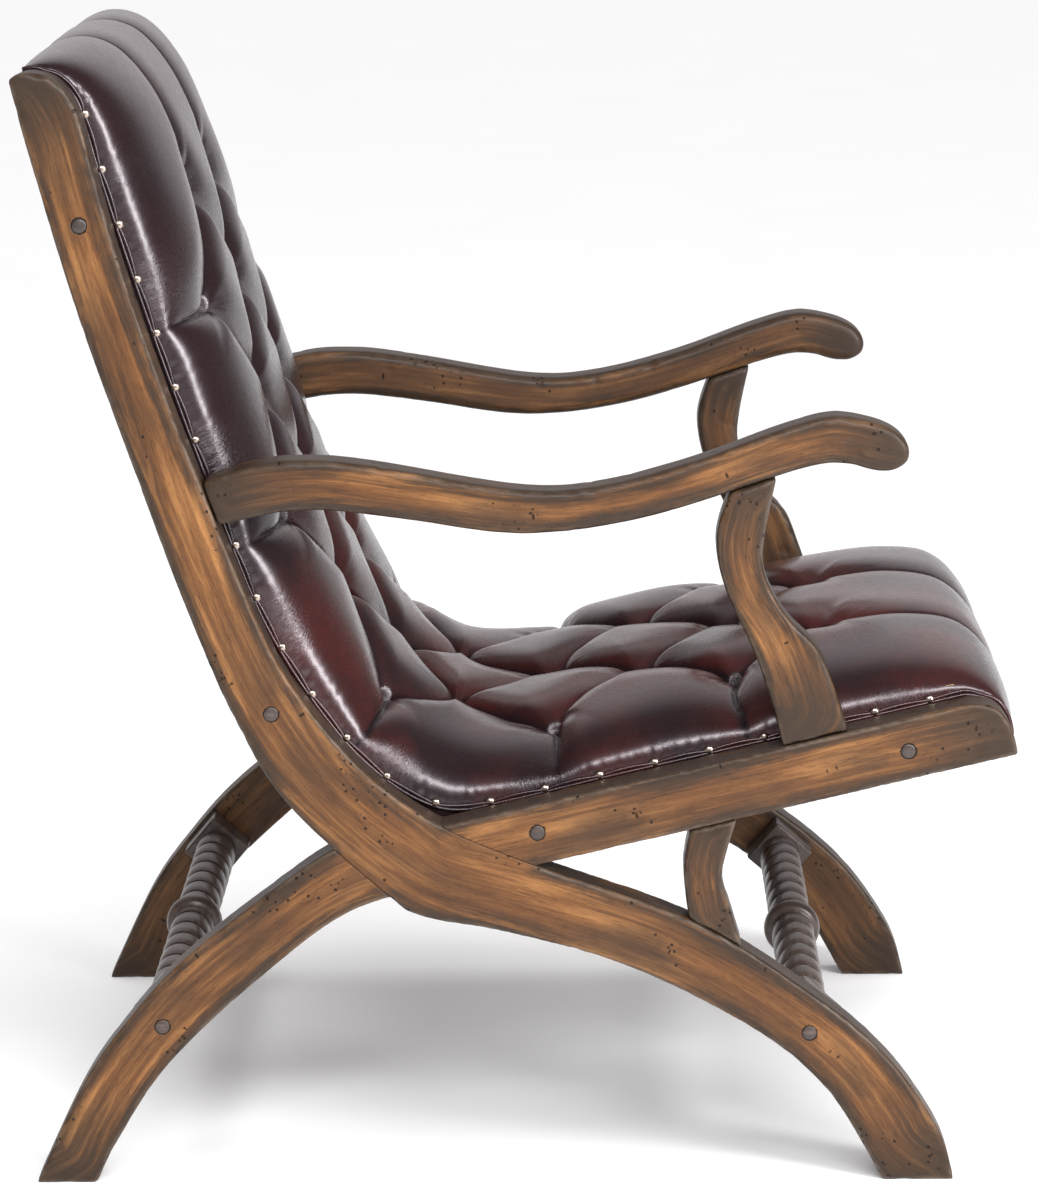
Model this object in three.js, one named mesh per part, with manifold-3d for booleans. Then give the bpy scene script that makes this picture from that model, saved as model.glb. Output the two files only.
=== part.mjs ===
// Library armchair with crossed sabre legs, S-shaped arms and a buttoned leather panel.
//
// Millimetres, +Z up. The chair stands on z = 0 with its front towards -Y, and x = 0 is its
// middle plane. Right and left are the sitter's, so the right side is at -X.
//
// Each side frame is two sawn boards that cross in a half lap: the back leg board runs from the
// top of the back down to the front foot, and the seat leg board runs from the front of the
// seat back to the rear foot. Cross rails and two turned stretchers join the side frames, held
// by screws under wooden plugs. A curved panel lies between the side frames: two rails, a head
// rail, a nose rail and two plywood decks, with one foam pad and one leather cover over them.

import * as THREE from 'three';
import { mergeVertices } from 'three/addons/utils/BufferGeometryUtils.js';
import Module from 'manifold-3d';

const wasm = await Module();
wasm.setup();

// ---------------------------------------------------------------- driving dimensions

const WIDTH = 670;              // over the outer faces of the side boards
const BOARD = 38;               // thickness of the side boards
const GAP = 0.3;                // clearance between pieces that touch
const CENTRE_SHIFT = -1;        // moves the drawing so that its box is centred on y = 0

const OUTER = WIDTH / 2;        // outer face of a side board
const INNER = OUTER - BOARD;    // inner face of a side board
const LAP = OUTER - BOARD / 2;  // face where the two boards of a side meet

const ARM_WIDTH = 42;
const ARM_INSET = 1;            // the arm stands this far inside the board's outer face
const POST_THICKNESS = 37;      // arm post and seat strut
const ARM_ROUND = 5;            // rounding of the arm's long edges

const PANEL_HALF = 290.5;       // half the width of the leather panel
const LEATHER = 1.7;
const PANEL_RAIL_WIDTH = 27;
const PANEL_RAIL_DEPTH = 23;
const PANEL_PROUD = 8;          // how far the panel's rails stand in front of the seat line
const DECK = 8;                 // plywood thickness
const FLAP = 7;                 // leather turned in behind the head and nose rails
const END_RAIL_LENGTH = 36;     // head and nose rail, measured along the seat line
const END_RAIL_DEPTH = 54;
const HEM = 4;                  // the upholstery's back starts this far in from the line's ends
const UNDERSIDE = 120;          // depth of the space below the upholstery

const CROSS_RAIL_FRONT = -16;   // front face of every cross rail, measured from the seat line
const CROSS_RAIL_THICKNESS = 30;
const CROSS_RAIL_DEPTH = 60;
const BACK_COVER = 2;           // outside back leather and dust cover

const PLUG_RADIUS = 6.3;
const PLUG_LENGTH = 9;
const PLUG_DOME = 1;
const SCREW_HEAD_RADIUS = 5;
const SCREW_HEAD = 4;
const SCREW_RADIUS = 3;
const SCREW_LENGTH = 70;        // head and shank
const SCREW_POINT = 6;
const DOWEL_RADIUS = 5;
const DOWEL_LENGTH = 44;

const ROD_RADIUS = 18;
const COLLAR_RADIUS = 26;
const BLOCK_SIZE = 46;          // square blocks at the ends of the stretchers
const BLOCK_LENGTH = 32;
const TENON = 2;                // the turned part runs this far into each block

const BEYOND = 20;              // how far a cutting shape runs past the piece that it cuts
const CURVE_STEPS = 3;          // outline steps for each point of a smooth run
const BAND_STEP = 18;           // spacing of the points of a band along the panel
const TURNED_SEGMENTS = 20;
const PLUG_SEGMENTS = 12;
const PIN_SEGMENTS = 10;        // screws and dowels

// Half of a stretcher's collar, as [distance from its middle, radius].
const COLLAR = [[0, COLLAR_RADIUS], [6, COLLAR_RADIUS - 1.5], [10, COLLAR_RADIUS - 5],
  [12, ROD_RADIUS]];

// ---------------------------------------------------------------- profiles, as [y, z]

const BACK_LEG_BOARD = outline([422, 957],
  [[408, 899], [370, 762], [330, 641], [283, 505], [241, 403], [197, 332], [115, 255], [98, 241]],
  [[73, 234], [18, 224], [-69, 200], [-141, 168], [-216, 123], [-266, 74], [-309, 0]],
  [[-371, 0]],
  [[-356, 47], [-310, 113], [-243, 170], [-144, 233], [-13, 282], [70, 318], [131, 362],
    [186, 427], [222, 492], [281, 647], [315, 745], [341, 832], [364, 927]],
  [[373, 945], [388, 959], [407, 963]]);

const SEAT_LEG_BOARD = outline([-422, 378],
  [[-417, 398], [-409, 413], [-397, 421], [-381, 423]],
  [[120, 306.5]],
  [[164, 297], [231, 250], [298, 196], [343, 146], [382, 91], [426, 0]],
  [[373, 0]],
  [[355, 37], [309, 106], [232, 180], [148, 243], [60, 266]]);

const ARM = outline([290, 610],
  [[222, 632], [170, 635], [118, 629], [1, 609], [-67, 612], [-142, 631], [-217, 658],
    [-263, 670], [-300, 664]],
  [[-315, 657], [-325, 647], [-328, 636], [-322, 627], [-308, 622], [-290, 625]],
  [[-273, 629.5], [-236, 625], [-104, 584], [1, 571], [107, 585], [184, 592], [256, 579],
    [290, 566]]);

const ARM_POST = outline([-186, 630],
  [[-168, 584], [-165, 555], [-174, 518], [-197, 467], [-214, 415], [-224, 370]],
  [[-286, 370]],
  [[-277, 401], [-265, 437], [-251, 471], [-224, 500], [-206, 536], [-206, 571], [-222, 645]]);

const SEAT_STRUT = outline([-148, 334],
  [[-138, 294], [-137, 270], [-141, 237], [-148, 205]],
  [[-188, 205]],
  [[-178, 240], [-170, 270], [-174, 294], [-186, 334]]);

// The line where the leather is nailed, from the top of the back to the front of the seat.
const SEAT_LINE = smoothLine([[371, 955], [351, 877], [309, 740], [262, 603], [215, 481],
  [159, 393], [125, 357], [92, 334], [61, 324], [19, 331], [-68, 352], [-250, 394], [-388, 426]]);

// The crown of the leather, from behind the head rail over the back and seat to below the nose.
const LEATHER_LINE = smoothLine([[417.5, 943], [420, 959], [396, 975], [360, 971], [323, 935],
  [290, 862], [254, 757], [209, 621], [163, 513], [122, 438], [86, 401], [44, 384], [0, 387],
  [-55, 405], [-144, 428], [-260, 452], [-340, 459], [-386, 450], [-412, 426], [-424, 398],
  [-420, 383]]);

// Plug and screw positions on each side, which are also where the cross pieces meet the boards.
const CROSS_PIECES = {
  crest_rail: { at: [366, 835], board: 'back_leg_board' },
  lower_back_rail: { at: [214, 417], board: 'back_leg_board' },
  rear_seat_rail: { at: [-12, 312], board: 'seat_leg_board' },
  front_seat_rail: { at: [-328, 382], board: 'seat_leg_board' },
  rear_stretcher: { at: [313, 141], board: 'seat_leg_board', block: 130 },
  front_stretcher: { at: [-245, 133], board: 'back_leg_board', block: 41 },
};

// Dowels in the side frames: middle point, direction from the y axis in degrees, joined pieces.
const DOWELS = {
  arm_dowel: { at: [260, 597], turn: -17, joins: ['back_leg_board', 'arm'] },
  post_top_dowel: { at: [-197, 612], turn: 108, joins: ['arm', 'arm_post'] },
  post_foot_dowel: { at: [-248, 393], turn: 103, joins: ['arm_post', 'seat_leg_board'] },
  strut_top_dowel: { at: [-157, 317], turn: 92, joins: ['seat_leg_board', 'seat_strut'] },
  strut_foot_dowel: { at: [-160, 226], turn: 80, joins: ['seat_strut', 'back_leg_board'] },
};

// ---------------------------------------------------------------- finishes

const WALNUT = finish(0x8a5a33, 0.45, 0);
const DARK_WALNUT = finish(0x5a4a42, 0.5, 0);
const HARDWOOD = finish(0xb08a5c, 0.7, 0);
const PLYWOOD = finish(0xc19a6b, 0.8, 0);
const FOAM = finish(0xe8dcae, 0.95, 0);
const OXBLOOD = finish(0x3d2022, 0.35, 0);
const DUST_CLOTH = finish(0x201c1c, 0.95, 0);
const STEEL = finish(0x9a9a9a, 0.35, 1);

// ---------------------------------------------------------------- drawing helpers

function finish(color, roughness, metalness) {
  return new THREE.MeshStandardMaterial({ color, roughness, metalness });
}

// A closed profile: a run of one point is a straight edge, a longer run is a smooth one.
function outline(start, ...runs) {
  const shape = new THREE.Shape();
  shape.moveTo(...start);
  for (const run of runs) {
    if (run.length === 1) shape.lineTo(...run[0]);
    else shape.splineThru(run.map((point) => new THREE.Vector2(...point)));
  }
  return shape;
}

function smoothLine(points) {
  const knots = points.map(([y, z]) => new THREE.Vector3(y, z, 0));
  return new THREE.CatmullRomCurve3(knots, false, 'centripetal');
}

// A point on a line at a length from its start, moved sideways by an offset.
// On both lines of this chair a positive offset points towards the sitter.
function beside(line, length, offset) {
  const total = line.getLength();
  const t = THREE.MathUtils.clamp(length / total, 0, 1);
  const point = line.getPointAt(t);
  const along = line.getTangentAt(t);
  const past = length - t * total;
  return new THREE.Vector2(
    point.x + along.x * past + along.y * offset,
    point.y + along.y * past - along.x * offset,
  );
}

// Points beside a line between two lengths. All bands on a line share the same steps, so that
// neighbouring pieces keep the same clearance round a bend.
function stretch(line, from, to, offset) {
  const low = Math.min(from, to);
  const high = Math.max(from, to);
  const lengths = [low];
  const first = (Math.floor(low / BAND_STEP) + 1) * BAND_STEP;
  for (let next = first; next < high; next += BAND_STEP) {
    if (next - low > 1 && high - next > 1) lengths.push(next);
  }
  lengths.push(high);
  if (from > to) lengths.reverse();
  return lengths.map((length) => beside(line, length, offset));
}

// Turns a drawing's axes, across, up and out of the page, into the chair's y, z and x.
const DRAWING_TO_CHAIR = new THREE.Matrix4().makeBasis(
  new THREE.Vector3(0, 1, 0),
  new THREE.Vector3(0, 0, 1),
  new THREE.Vector3(1, 0, 0),
);

// A prism of a [y, z] profile between two x values, with its long edges rounded if asked.
function prism(shape, fromX, toX, round = 0, steps = 1) {
  const geometry = new THREE.ExtrudeGeometry(shape, {
    depth: toX - fromX - 2 * round,
    curveSegments: CURVE_STEPS,
    bevelEnabled: round > 0,
    bevelThickness: round,
    bevelSize: round,
    bevelOffset: -round,
    bevelSegments: steps,
  });
  geometry.translate(0, 0, fromX + round);
  return solid(geometry.applyMatrix4(DRAWING_TO_CHAIR));
}

// A prism that stands proud of its profile by the clearance, for cutting a neighbour to fit.
function cutter(shape, fromX, toX) {
  const geometry = new THREE.ExtrudeGeometry(shape, {
    depth: toX - fromX,
    curveSegments: CURVE_STEPS,
    bevelThickness: GAP,
    bevelSize: GAP,
    bevelSegments: 1,
  });
  geometry.translate(0, 0, fromX);
  return solid(geometry.applyMatrix4(DRAWING_TO_CHAIR));
}

function solid(geometry) {
  const bare = geometry.clone();
  bare.deleteAttribute('normal');
  bare.deleteAttribute('uv');
  const merged = mergeVertices(bare, 1e-4);
  return new wasm.Manifold(new wasm.Mesh({
    numProp: 3,
    vertProperties: new Float32Array(merged.attributes.position.array),
    triVerts: new Uint32Array(merged.index.array),
  }));
}

function toGeometry(body) {
  const mesh = body.getMesh();
  const geometry = new THREE.BufferGeometry();
  geometry.setAttribute('position', new THREE.BufferAttribute(mesh.vertProperties, 3));
  geometry.setIndex(new THREE.BufferAttribute(mesh.triVerts, 1));
  geometry.computeVertexNormals();
  return geometry;
}

// Turns a lathe geometry, whose axis is y, so that its axis runs along x from x = 0.
function turned(profile, segments, side = 1) {
  const points = profile.map(([along, radius]) => new THREE.Vector2(radius, along));
  const geometry = new THREE.LatheGeometry(points, segments);
  geometry.rotateZ(side > 0 ? -Math.PI / 2 : Math.PI / 2);
  return geometry;
}

const chair = new THREE.Group();
chair.position.y = CENTRE_SHIFT;

function add(name, body, material) {
  const mesh = new THREE.Mesh(toGeometry(body), material);
  mesh.name = name;
  chair.add(mesh);
}

// ---------------------------------------------------------------- fasteners

// Screw and plug profiles are [length along the axis, radius], with the axis pointing inwards
// from the board's outer face. The hole profile holds both with clearance all round.
function plugProfile() {
  return [[-PLUG_DOME, 0], [-PLUG_DOME * 0.6, PLUG_RADIUS * 0.6], [0, PLUG_RADIUS],
    [PLUG_LENGTH, PLUG_RADIUS], [PLUG_LENGTH, 0]];
}

function screwProfile() {
  const head = PLUG_LENGTH + GAP;
  const tip = head + SCREW_LENGTH;
  return [[head, 0], [head, SCREW_HEAD_RADIUS], [head + SCREW_HEAD, SCREW_HEAD_RADIUS],
    [head + SCREW_HEAD, SCREW_RADIUS], [tip - SCREW_POINT, SCREW_RADIUS], [tip, 0]];
}

function holeProfile() {
  const seat = PLUG_LENGTH + 2 * GAP + SCREW_HEAD;
  const end = PLUG_LENGTH + 3 * GAP + SCREW_LENGTH;
  return [[-BEYOND, 0], [-BEYOND, PLUG_RADIUS + GAP], [seat, PLUG_RADIUS + GAP],
    [seat, SCREW_RADIUS + GAP], [end, SCREW_RADIUS + GAP], [end, 0]];
}

// side is -1 on the sitter's right and 1 on the left; a fastener points towards the middle.
function crossFastener(profile, piece, side, segments) {
  const geometry = turned(profile, segments, -side);
  const [y, z] = CROSS_PIECES[piece].at;
  geometry.translate(side * OUTER, y, z);
  return solid(geometry);
}

function dowel({ at: [y, z], turn }, side, extra = 0) {
  const length = DOWEL_LENGTH + 2 * extra;
  const radius = DOWEL_RADIUS + extra;
  const geometry = new THREE.CylinderGeometry(radius, radius, length, PIN_SEGMENTS);
  geometry.rotateX(THREE.MathUtils.degToRad(turn));
  geometry.translate(side * LAP, y, z);
  return solid(geometry);
}

function drillDowels(body, piece, side) {
  let drilled = body;
  for (const pin of Object.values(DOWELS)) {
    if (pin.joins.includes(piece)) drilled = drilled.subtract(dowel(pin, side, GAP));
  }
  return drilled;
}

function drillFasteners(body, side, wanted) {
  let drilled = body;
  for (const [name, piece] of Object.entries(CROSS_PIECES)) {
    if (wanted(name, piece)) {
      drilled = drilled.subtract(crossFastener(holeProfile(), name, side, PLUG_SEGMENTS));
    }
  }
  return drilled;
}

// ---------------------------------------------------------------- side frames

// The x range of a side's slab between two distances from the middle plane.
function slab(side, near, far) {
  return side > 0 ? [near, far] : [-far, -near];
}

// The x range of a cut right through a side frame.
function throughSlab(side) {
  return slab(side, INNER - BEYOND, OUTER + BEYOND);
}

function backLegBoard(side) {
  const board = prism(BACK_LEG_BOARD, ...slab(side, INNER, OUTER));
  const lap = cutter(SEAT_LEG_BOARD, ...slab(side, INNER - BEYOND, LAP));
  return board.subtract(lap);
}

function seatLegBoard(side) {
  const board = prism(SEAT_LEG_BOARD, ...slab(side, INNER, OUTER));
  const lap = cutter(BACK_LEG_BOARD, ...slab(side, LAP, OUTER + BEYOND));
  return board.subtract(lap);
}

function arm(side) {
  const far = OUTER - ARM_INSET;
  const blank = prism(ARM, ...slab(side, far - ARM_WIDTH, far), ARM_ROUND, 2);
  return blank.subtract(cutter(BACK_LEG_BOARD, ...throughSlab(side)));
}

function armPost(side) {
  const far = OUTER - (BOARD - POST_THICKNESS) / 2;
  return prism(ARM_POST, ...slab(side, far - POST_THICKNESS, far))
    .subtract(cutter(ARM, ...throughSlab(side)))
    .subtract(cutter(SEAT_LEG_BOARD, ...throughSlab(side)));
}

function seatStrut(side) {
  const far = OUTER - (BOARD - POST_THICKNESS) / 2;
  return prism(SEAT_STRUT, ...slab(side, far - POST_THICKNESS, far))
    .subtract(cutter(BACK_LEG_BOARD, ...throughSlab(side)))
    .subtract(cutter(SEAT_LEG_BOARD, ...throughSlab(side)));
}

function sideFrame(label, side) {
  const pieces = {
    back_leg_board: backLegBoard(side),
    seat_leg_board: seatLegBoard(side),
    arm: arm(side),
    arm_post: armPost(side),
    seat_strut: seatStrut(side),
  };
  for (const [piece, body] of Object.entries(pieces)) {
    const drilled = drillFasteners(drillDowels(body, piece, side), side, (name, cross) => (
      cross.board === piece));
    add(`${label}_${piece}`, drilled, WALNUT);
  }
  for (const [name, pin] of Object.entries(DOWELS)) {
    add(`${label}_${name}`, dowel(pin, side), HARDWOOD);
  }
  for (const piece of Object.keys(CROSS_PIECES)) {
    add(`${label}_${piece}_plug`, crossFastener(plugProfile(), piece, side, PLUG_SEGMENTS),
      DARK_WALNUT);
    add(`${label}_${piece}_screw`, crossFastener(screwProfile(), piece, side, PIN_SEGMENTS), STEEL);
  }
}

// ---------------------------------------------------------------- cross rails and stretchers

// The length along the seat line of the point that is closest to a [y, z] position.
function lengthNear([y, z]) {
  const total = SEAT_LINE.getLength();
  let best = 0;
  let closest = Infinity;
  for (let length = 0; length <= total; length += 1) {
    const distance = beside(SEAT_LINE, length, 0).distanceTo(new THREE.Vector2(y, z));
    if (distance < closest) {
      closest = distance;
      best = length;
    }
  }
  return best;
}

function drillBothEnds(body, piece) {
  const isPiece = (name) => name === piece;
  return drillFasteners(drillFasteners(body, -1, isPiece), 1, isPiece);
}

function crossRail(piece) {
  const middle = lengthNear(CROSS_PIECES[piece].at);
  const from = middle - CROSS_RAIL_DEPTH / 2;
  const to = middle + CROSS_RAIL_DEPTH / 2;
  const back = CROSS_RAIL_FRONT - CROSS_RAIL_THICKNESS;
  const shape = new THREE.Shape([
    ...stretch(SEAT_LINE, from, to, CROSS_RAIL_FRONT),
    ...stretch(SEAT_LINE, to, from, back),
  ]);
  const end = INNER - GAP;
  add(piece, drillBothEnds(prism(shape, -end, end), piece), HARDWOOD);
}

// Half of a stretcher, from the middle of its collar to its end block.
function halfStretcher() {
  const reach = INNER - GAP - BLOCK_LENGTH + TENON;
  return [[0, 0], ...COLLAR, [reach, ROD_RADIUS], [reach, 0]];
}

function stretcher(piece) {
  const { at: [y, z], block } = CROSS_PIECES[piece];
  let body = wasm.Manifold.union([-1, 1].map((side) => (
    solid(turned(halfStretcher(), TURNED_SEGMENTS, side)))));
  for (const side of [-1, 1]) {
    const square = new THREE.BoxGeometry(BLOCK_LENGTH, BLOCK_SIZE, BLOCK_SIZE);
    square.translate(side * (INNER - GAP - BLOCK_LENGTH / 2), 0, 0);
    square.rotateX(THREE.MathUtils.degToRad(block));
    body = body.add(solid(square));
  }
  add(piece, drillBothEnds(body.translate([0, y, z]), piece), DARK_WALNUT);
}

// ---------------------------------------------------------------- upholstered panel

// A band between two offsets of the seat line, from one length to another.
function band(from, to, low, high) {
  return new THREE.Shape([
    ...stretch(SEAT_LINE, from, to, low),
    ...stretch(SEAT_LINE, to, from, high),
  ]);
}

const LINE_LENGTH = SEAT_LINE.getLength();
const RAIL_BACK = PANEL_PROUD - PANEL_RAIL_DEPTH;
const END_RAIL_BACK = PANEL_PROUD - END_RAIL_DEPTH;
const BEND_LENGTH = lengthNear([92, 334]);

function panelFrame() {
  const outside = PANEL_HALF - LEATHER - GAP;
  const inside = outside - PANEL_RAIL_WIDTH;
  const side = band(0, LINE_LENGTH, RAIL_BACK, PANEL_PROUD);
  add('right_panel_rail', prism(side, -outside, -inside), HARDWOOD);
  add('left_panel_rail', prism(side, inside, outside), HARDWOOD);

  const between = inside - GAP;
  const head = band(0, END_RAIL_LENGTH, END_RAIL_BACK, PANEL_PROUD);
  const nose = band(LINE_LENGTH - END_RAIL_LENGTH, LINE_LENGTH, END_RAIL_BACK, PANEL_PROUD);
  add('panel_head_rail', prism(head, -between, between), HARDWOOD);
  add('panel_nose_rail', prism(nose, -between, between), HARDWOOD);

  const low = PANEL_PROUD - DECK;
  const back = band(END_RAIL_LENGTH + GAP, BEND_LENGTH, low, PANEL_PROUD);
  const seat = band(BEND_LENGTH + GAP, LINE_LENGTH - END_RAIL_LENGTH - GAP, low, PANEL_PROUD);
  add('back_deck', prism(back, -between, between), PLYWOOD);
  add('seat_deck', prism(seat, -between, between), PLYWOOD);
}

// The space under the upholstery, below an offset of the seat line and up to a distance from
// each of its ends.
function underside(top, short) {
  return band(short, LINE_LENGTH - short, top, -UNDERSIDE);
}

// The upholstery's outer form, drawn in from the leather's crown line by an amount.
function crowned(inset) {
  const total = LEATHER_LINE.getLength();
  const crown = stretch(LEATHER_LINE, 0, total, -inset);
  const back = END_RAIL_BACK - GAP - LEATHER + inset;
  const under = stretch(SEAT_LINE, LINE_LENGTH - HEM, HEM, back);
  return new THREE.Shape([...crown, ...under]);
}

function foamPad() {
  const inset = LEATHER + GAP;
  const half = PANEL_HALF - inset;
  const below = prism(underside(PANEL_PROUD + GAP, -GAP), -half - BEYOND, half + BEYOND);
  const pad = prism(crowned(inset), -half, half);
  add('foam_pad', pad.subtract(below), FOAM);
}

function leatherCover() {
  const skin = prism(crowned(0), -PANEL_HALF, PANEL_HALF);
  const half = PANEL_HALF - LEATHER;
  const hollow = prism(crowned(LEATHER), -half, half);
  const low = prism(underside(RAIL_BACK, FLAP), -INNER, INNER);
  add('leather_cover', skin.subtract(hollow).subtract(low), OXBLOOD);
}

function closingCovers() {
  const front = CROSS_RAIL_FRONT - CROSS_RAIL_THICKNESS - GAP;
  const half = INNER - GAP;
  const split = lengthNear(CROSS_PIECES.rear_seat_rail.at);
  const back = band(FLAP + GAP, split, front - BACK_COVER, front);
  const seat = band(split + GAP, LINE_LENGTH - FLAP - GAP, front - BACK_COVER, front);
  add('outside_back_cover', prism(back, -half, half), OXBLOOD);
  add('seat_dust_cover', prism(seat, -half, half), DUST_CLOTH);
}

// ---------------------------------------------------------------- assembly

sideFrame('right', -1);
sideFrame('left', 1);
for (const piece of ['crest_rail', 'lower_back_rail', 'rear_seat_rail', 'front_seat_rail']) {
  crossRail(piece);
}
stretcher('rear_stretcher');
stretcher('front_stretcher');
panelFrame();
foamPad();
leatherCover();
closingCovers();

export default chair;
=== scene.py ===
import math

import bpy
import numpy as np
from mathutils import Matrix, Vector, noise


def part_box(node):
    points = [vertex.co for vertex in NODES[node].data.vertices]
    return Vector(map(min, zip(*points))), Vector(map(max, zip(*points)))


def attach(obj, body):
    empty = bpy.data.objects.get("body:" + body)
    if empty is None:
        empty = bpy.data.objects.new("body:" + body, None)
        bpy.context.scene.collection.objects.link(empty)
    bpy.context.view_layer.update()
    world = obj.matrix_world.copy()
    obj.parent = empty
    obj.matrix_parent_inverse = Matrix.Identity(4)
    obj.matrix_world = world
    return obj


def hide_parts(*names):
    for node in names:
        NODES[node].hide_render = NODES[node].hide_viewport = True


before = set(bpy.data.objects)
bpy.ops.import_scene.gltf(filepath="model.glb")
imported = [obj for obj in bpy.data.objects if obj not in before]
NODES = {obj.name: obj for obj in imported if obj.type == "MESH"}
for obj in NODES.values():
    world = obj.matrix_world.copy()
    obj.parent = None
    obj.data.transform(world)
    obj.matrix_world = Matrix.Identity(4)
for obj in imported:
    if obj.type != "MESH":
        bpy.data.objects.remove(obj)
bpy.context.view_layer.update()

# The looks of a library armchair, in metres, in the frame of the CAD part: +Z up, front towards
# -Y, and the sitter's right side at -X. The sizes and places of the CAD part's pieces are read from
# the frame, apart from ARM_ROUND.

SIDES = {"right": -1, "left": 1}
FLAT = 2e-5                     # how far a point may lie from a plane that it belongs to
BEYOND = 0.010                  # how far a cutting tool sticks out of the piece that it cuts

# Wood
WOOD_VOXEL = 0.0021
OUTLINE_STEP = 0.003            # spacing of the points on a smoothed outline
CORNER_DEGREES = 40             # an outline that turns more than this has a corner
ARM_ROUND = 0.005               # the arm's long edges are rounded this much in CAD
# Rounds of smoothing that each kind of board gets
SOFTENED = {"back_leg_board": 7, "seat_leg_board": 7, "arm": 26, "arm_post": 16, "seat_strut": 10}
NIBBLE_DEPTH = 0.0011           # wear along the arrises
NIBBLE_WIDTH = 0.004
DENT_DEPTH = 0.0007
RIPPLE = 0.00022                # slow unevenness of a board's faces
RUB_AND_GLINT_WIDTH = 0.0024             # width of the strip along an arris that is painted pale, as rubbed wear and as a painted highlight
SKIN = 0.001                    # vertices this near to the inner face belong to it
PLUG_CLEARANCE = 0.0004
PLUG_HOLE_DEPTH = 0.011
PLUG_DOME = 0.0012

# Stretchers
TWIST_PITCH = 0.036             # length of one turn of the spiral groove
GROOVE_WIDTH = 0.0034
GROOVE_DEPTH = 0.0034
TWIST_BULGE = 0.0018            # how far the rod swells between two turns of the groove
TWIST_START = 0.014             # the groove starts this far from the middle of the collar
TWIST_STOP = 0.004              # and stops this far short of the end block
RING_STEP = 0.0008
ROD_SEGMENTS = 96
ROD_OVERLAP = 0.002             # how far the rod runs into its end blocks
BLOCK_BEVEL = 0.0022
COLLAR_HALF = 0.42              # half the collar's length, as a share of its radius
PLAIN_TIP = 0.1                 # dark pieces are glazed as if this far from an end of the grain
PLAIN_ARRIS = 0.03              # and the rods as if this far from an arris

# Upholstery
NAIL_LIFT = 0.015               # the nail line stands this far in front of the rails' backs
EDGE_TUCK = 0.010               # leather that runs down behind the side boards
FIRST_ROW = 0.128               # the first row of buttons, from the top of the nail line
BACK_PITCH = 0.099              # spacing of the rows on the back and round the bend
SEAT_PITCH = 0.083
BACK_ROWS = 8
SEAT_ROWS = 3
BUTTON_COLUMN = 0.095           # spacing of the columns, between a pair row and a row of three
BUTTON_RADIUS = 0.0066
BUTTON_HEIGHT = 0.0034
BUTTON_FOOT = 0.0015
BUTTON_SUNK = 0.0042            # how far a button's back lies below the bottom of its pit
BUTTON_DEPTH = 0.0260           # how far the buttons draw the leather in below its crown
PLEAT_DEPTH = 0.0110            # how far it is drawn in halfway along a pleat
PLEAT_REACH = 0.062             # half the width of a pillow between pleats
BUTTON_FALL = 0.035             # how quickly a pleat grows shallower away from its buttons
LEAN_WIDTH = 0.008              # the lean grows over this distance from the pleat
PILLOW_FULLNESS = 3.2           # how late a pillow curves down to its pleats
GATHER_HEIGHT = 0.0022          # folds round a button
GATHER_RADIUS = 0.014           # they are highest this far from it
GATHER_WIDTH = 0.018
EDGE_GATHER_HEIGHT = 0.0005     # folds at the nailed edge
EDGE_GATHER_WIDTH = 0.006
SWELL = 0.0012                  # slow unevenness of the stuffing
PLEAT_SHADE = 0.0034            # half the width of the painted shade along a pleat
BUTTON_SHADE = 0.011            # and the radius of the painted shade round a button
PLEAT_STRAIN = 0.012            # how far the fine creases reach from a pleat,
BUTTON_STRAIN = 0.040           # from a button
EDGE_STRAIN = 0.030             # and from the nailed edge
PANEL_STEP = 0.0018
PANEL_COLUMNS = 340
CREASE_DEPTH = 0.0045
CREASE_WIDTH = 0.0022
SQUARE_CORNER = 70              # degrees; only the corners of a cut end are sharper
SIDE_BY_SIDE = 0.0020           # the nail line follows a board where it comes this near to it
CORNER_ROWS = 4                 # rows left out next to the sharp corner at a board's end
RAIL_TRIM = 0.006               # how far inside the leather's edge the panel rails' corners end
RAIL_END_ROWS = 40              # rows at each end over which they are trimmed
BEND_ROWS = 36                  # rows on each side over which the bend between back and seat is eased
PLEAT_SWAY = 0.0060             # how far a pleat strays from the straight line between its buttons
PLEAT_LEAN = 0.30               # how much steeper the pillow below a pleat is than the one above it
MEETING = 7                     # how sharply pleats that meet run into each other
END_FULLNESS = 0.35             # how far the edge follows the crown over the head and the nose

# Nails and edge cord
NAIL_FIRST = 0.0315
NAIL_PITCH = 0.0485
NAIL_RADIUS = 0.0047
NAIL_HEIGHT = 0.0030
NAIL_FOOT = 0.0004
NAIL_STRAY = 0.0006             # no nail stands quite on the line
CORD_RADIUS = 0.0019
SCALLOP = 0.0020                # the upper cord rises this much between two nails
LOWER_CORD = (0.0012, -0.0024)  # how far out from the edge a cord lies, and how far up
UPPER_CORD = (0.0008, -0.0012)
CORD_LIFT = 0.0004              # what the upper cord is lifted even at a nail

# Covers behind and below the panel
SHEET_STEP = 0.006
SHEET_THICKNESS = 0.0016

# Studio
FLOOR_HALF = 30.0
BRIGHT_SKY = (0.95, 0.10, 0.28)     # the sky is brightest in this direction
SKY_FADE = (0.68, 0.98)             # it brightens between these dot products with that direction
SKY_TINT = (1.0, 0.945, 0.96, 1.0)
CAMERA_PLACE = (-4.0986, -0.0545, 1.2863)
CAMERA_DEGREES = (0.84659, -11.5775, -0.48835)      # yaw, pitch and roll
CAMERA_LENS = 157.63


# ---------------------------------------------------------------- mesh helpers

def new_piece(name, points, faces):
    mesh = bpy.data.meshes.new(name)
    mesh.from_pydata([tuple(p) for p in points], [], faces)
    mesh.update()
    piece = bpy.data.objects.new(name, mesh)
    bpy.context.scene.collection.objects.link(piece)
    return piece


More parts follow.
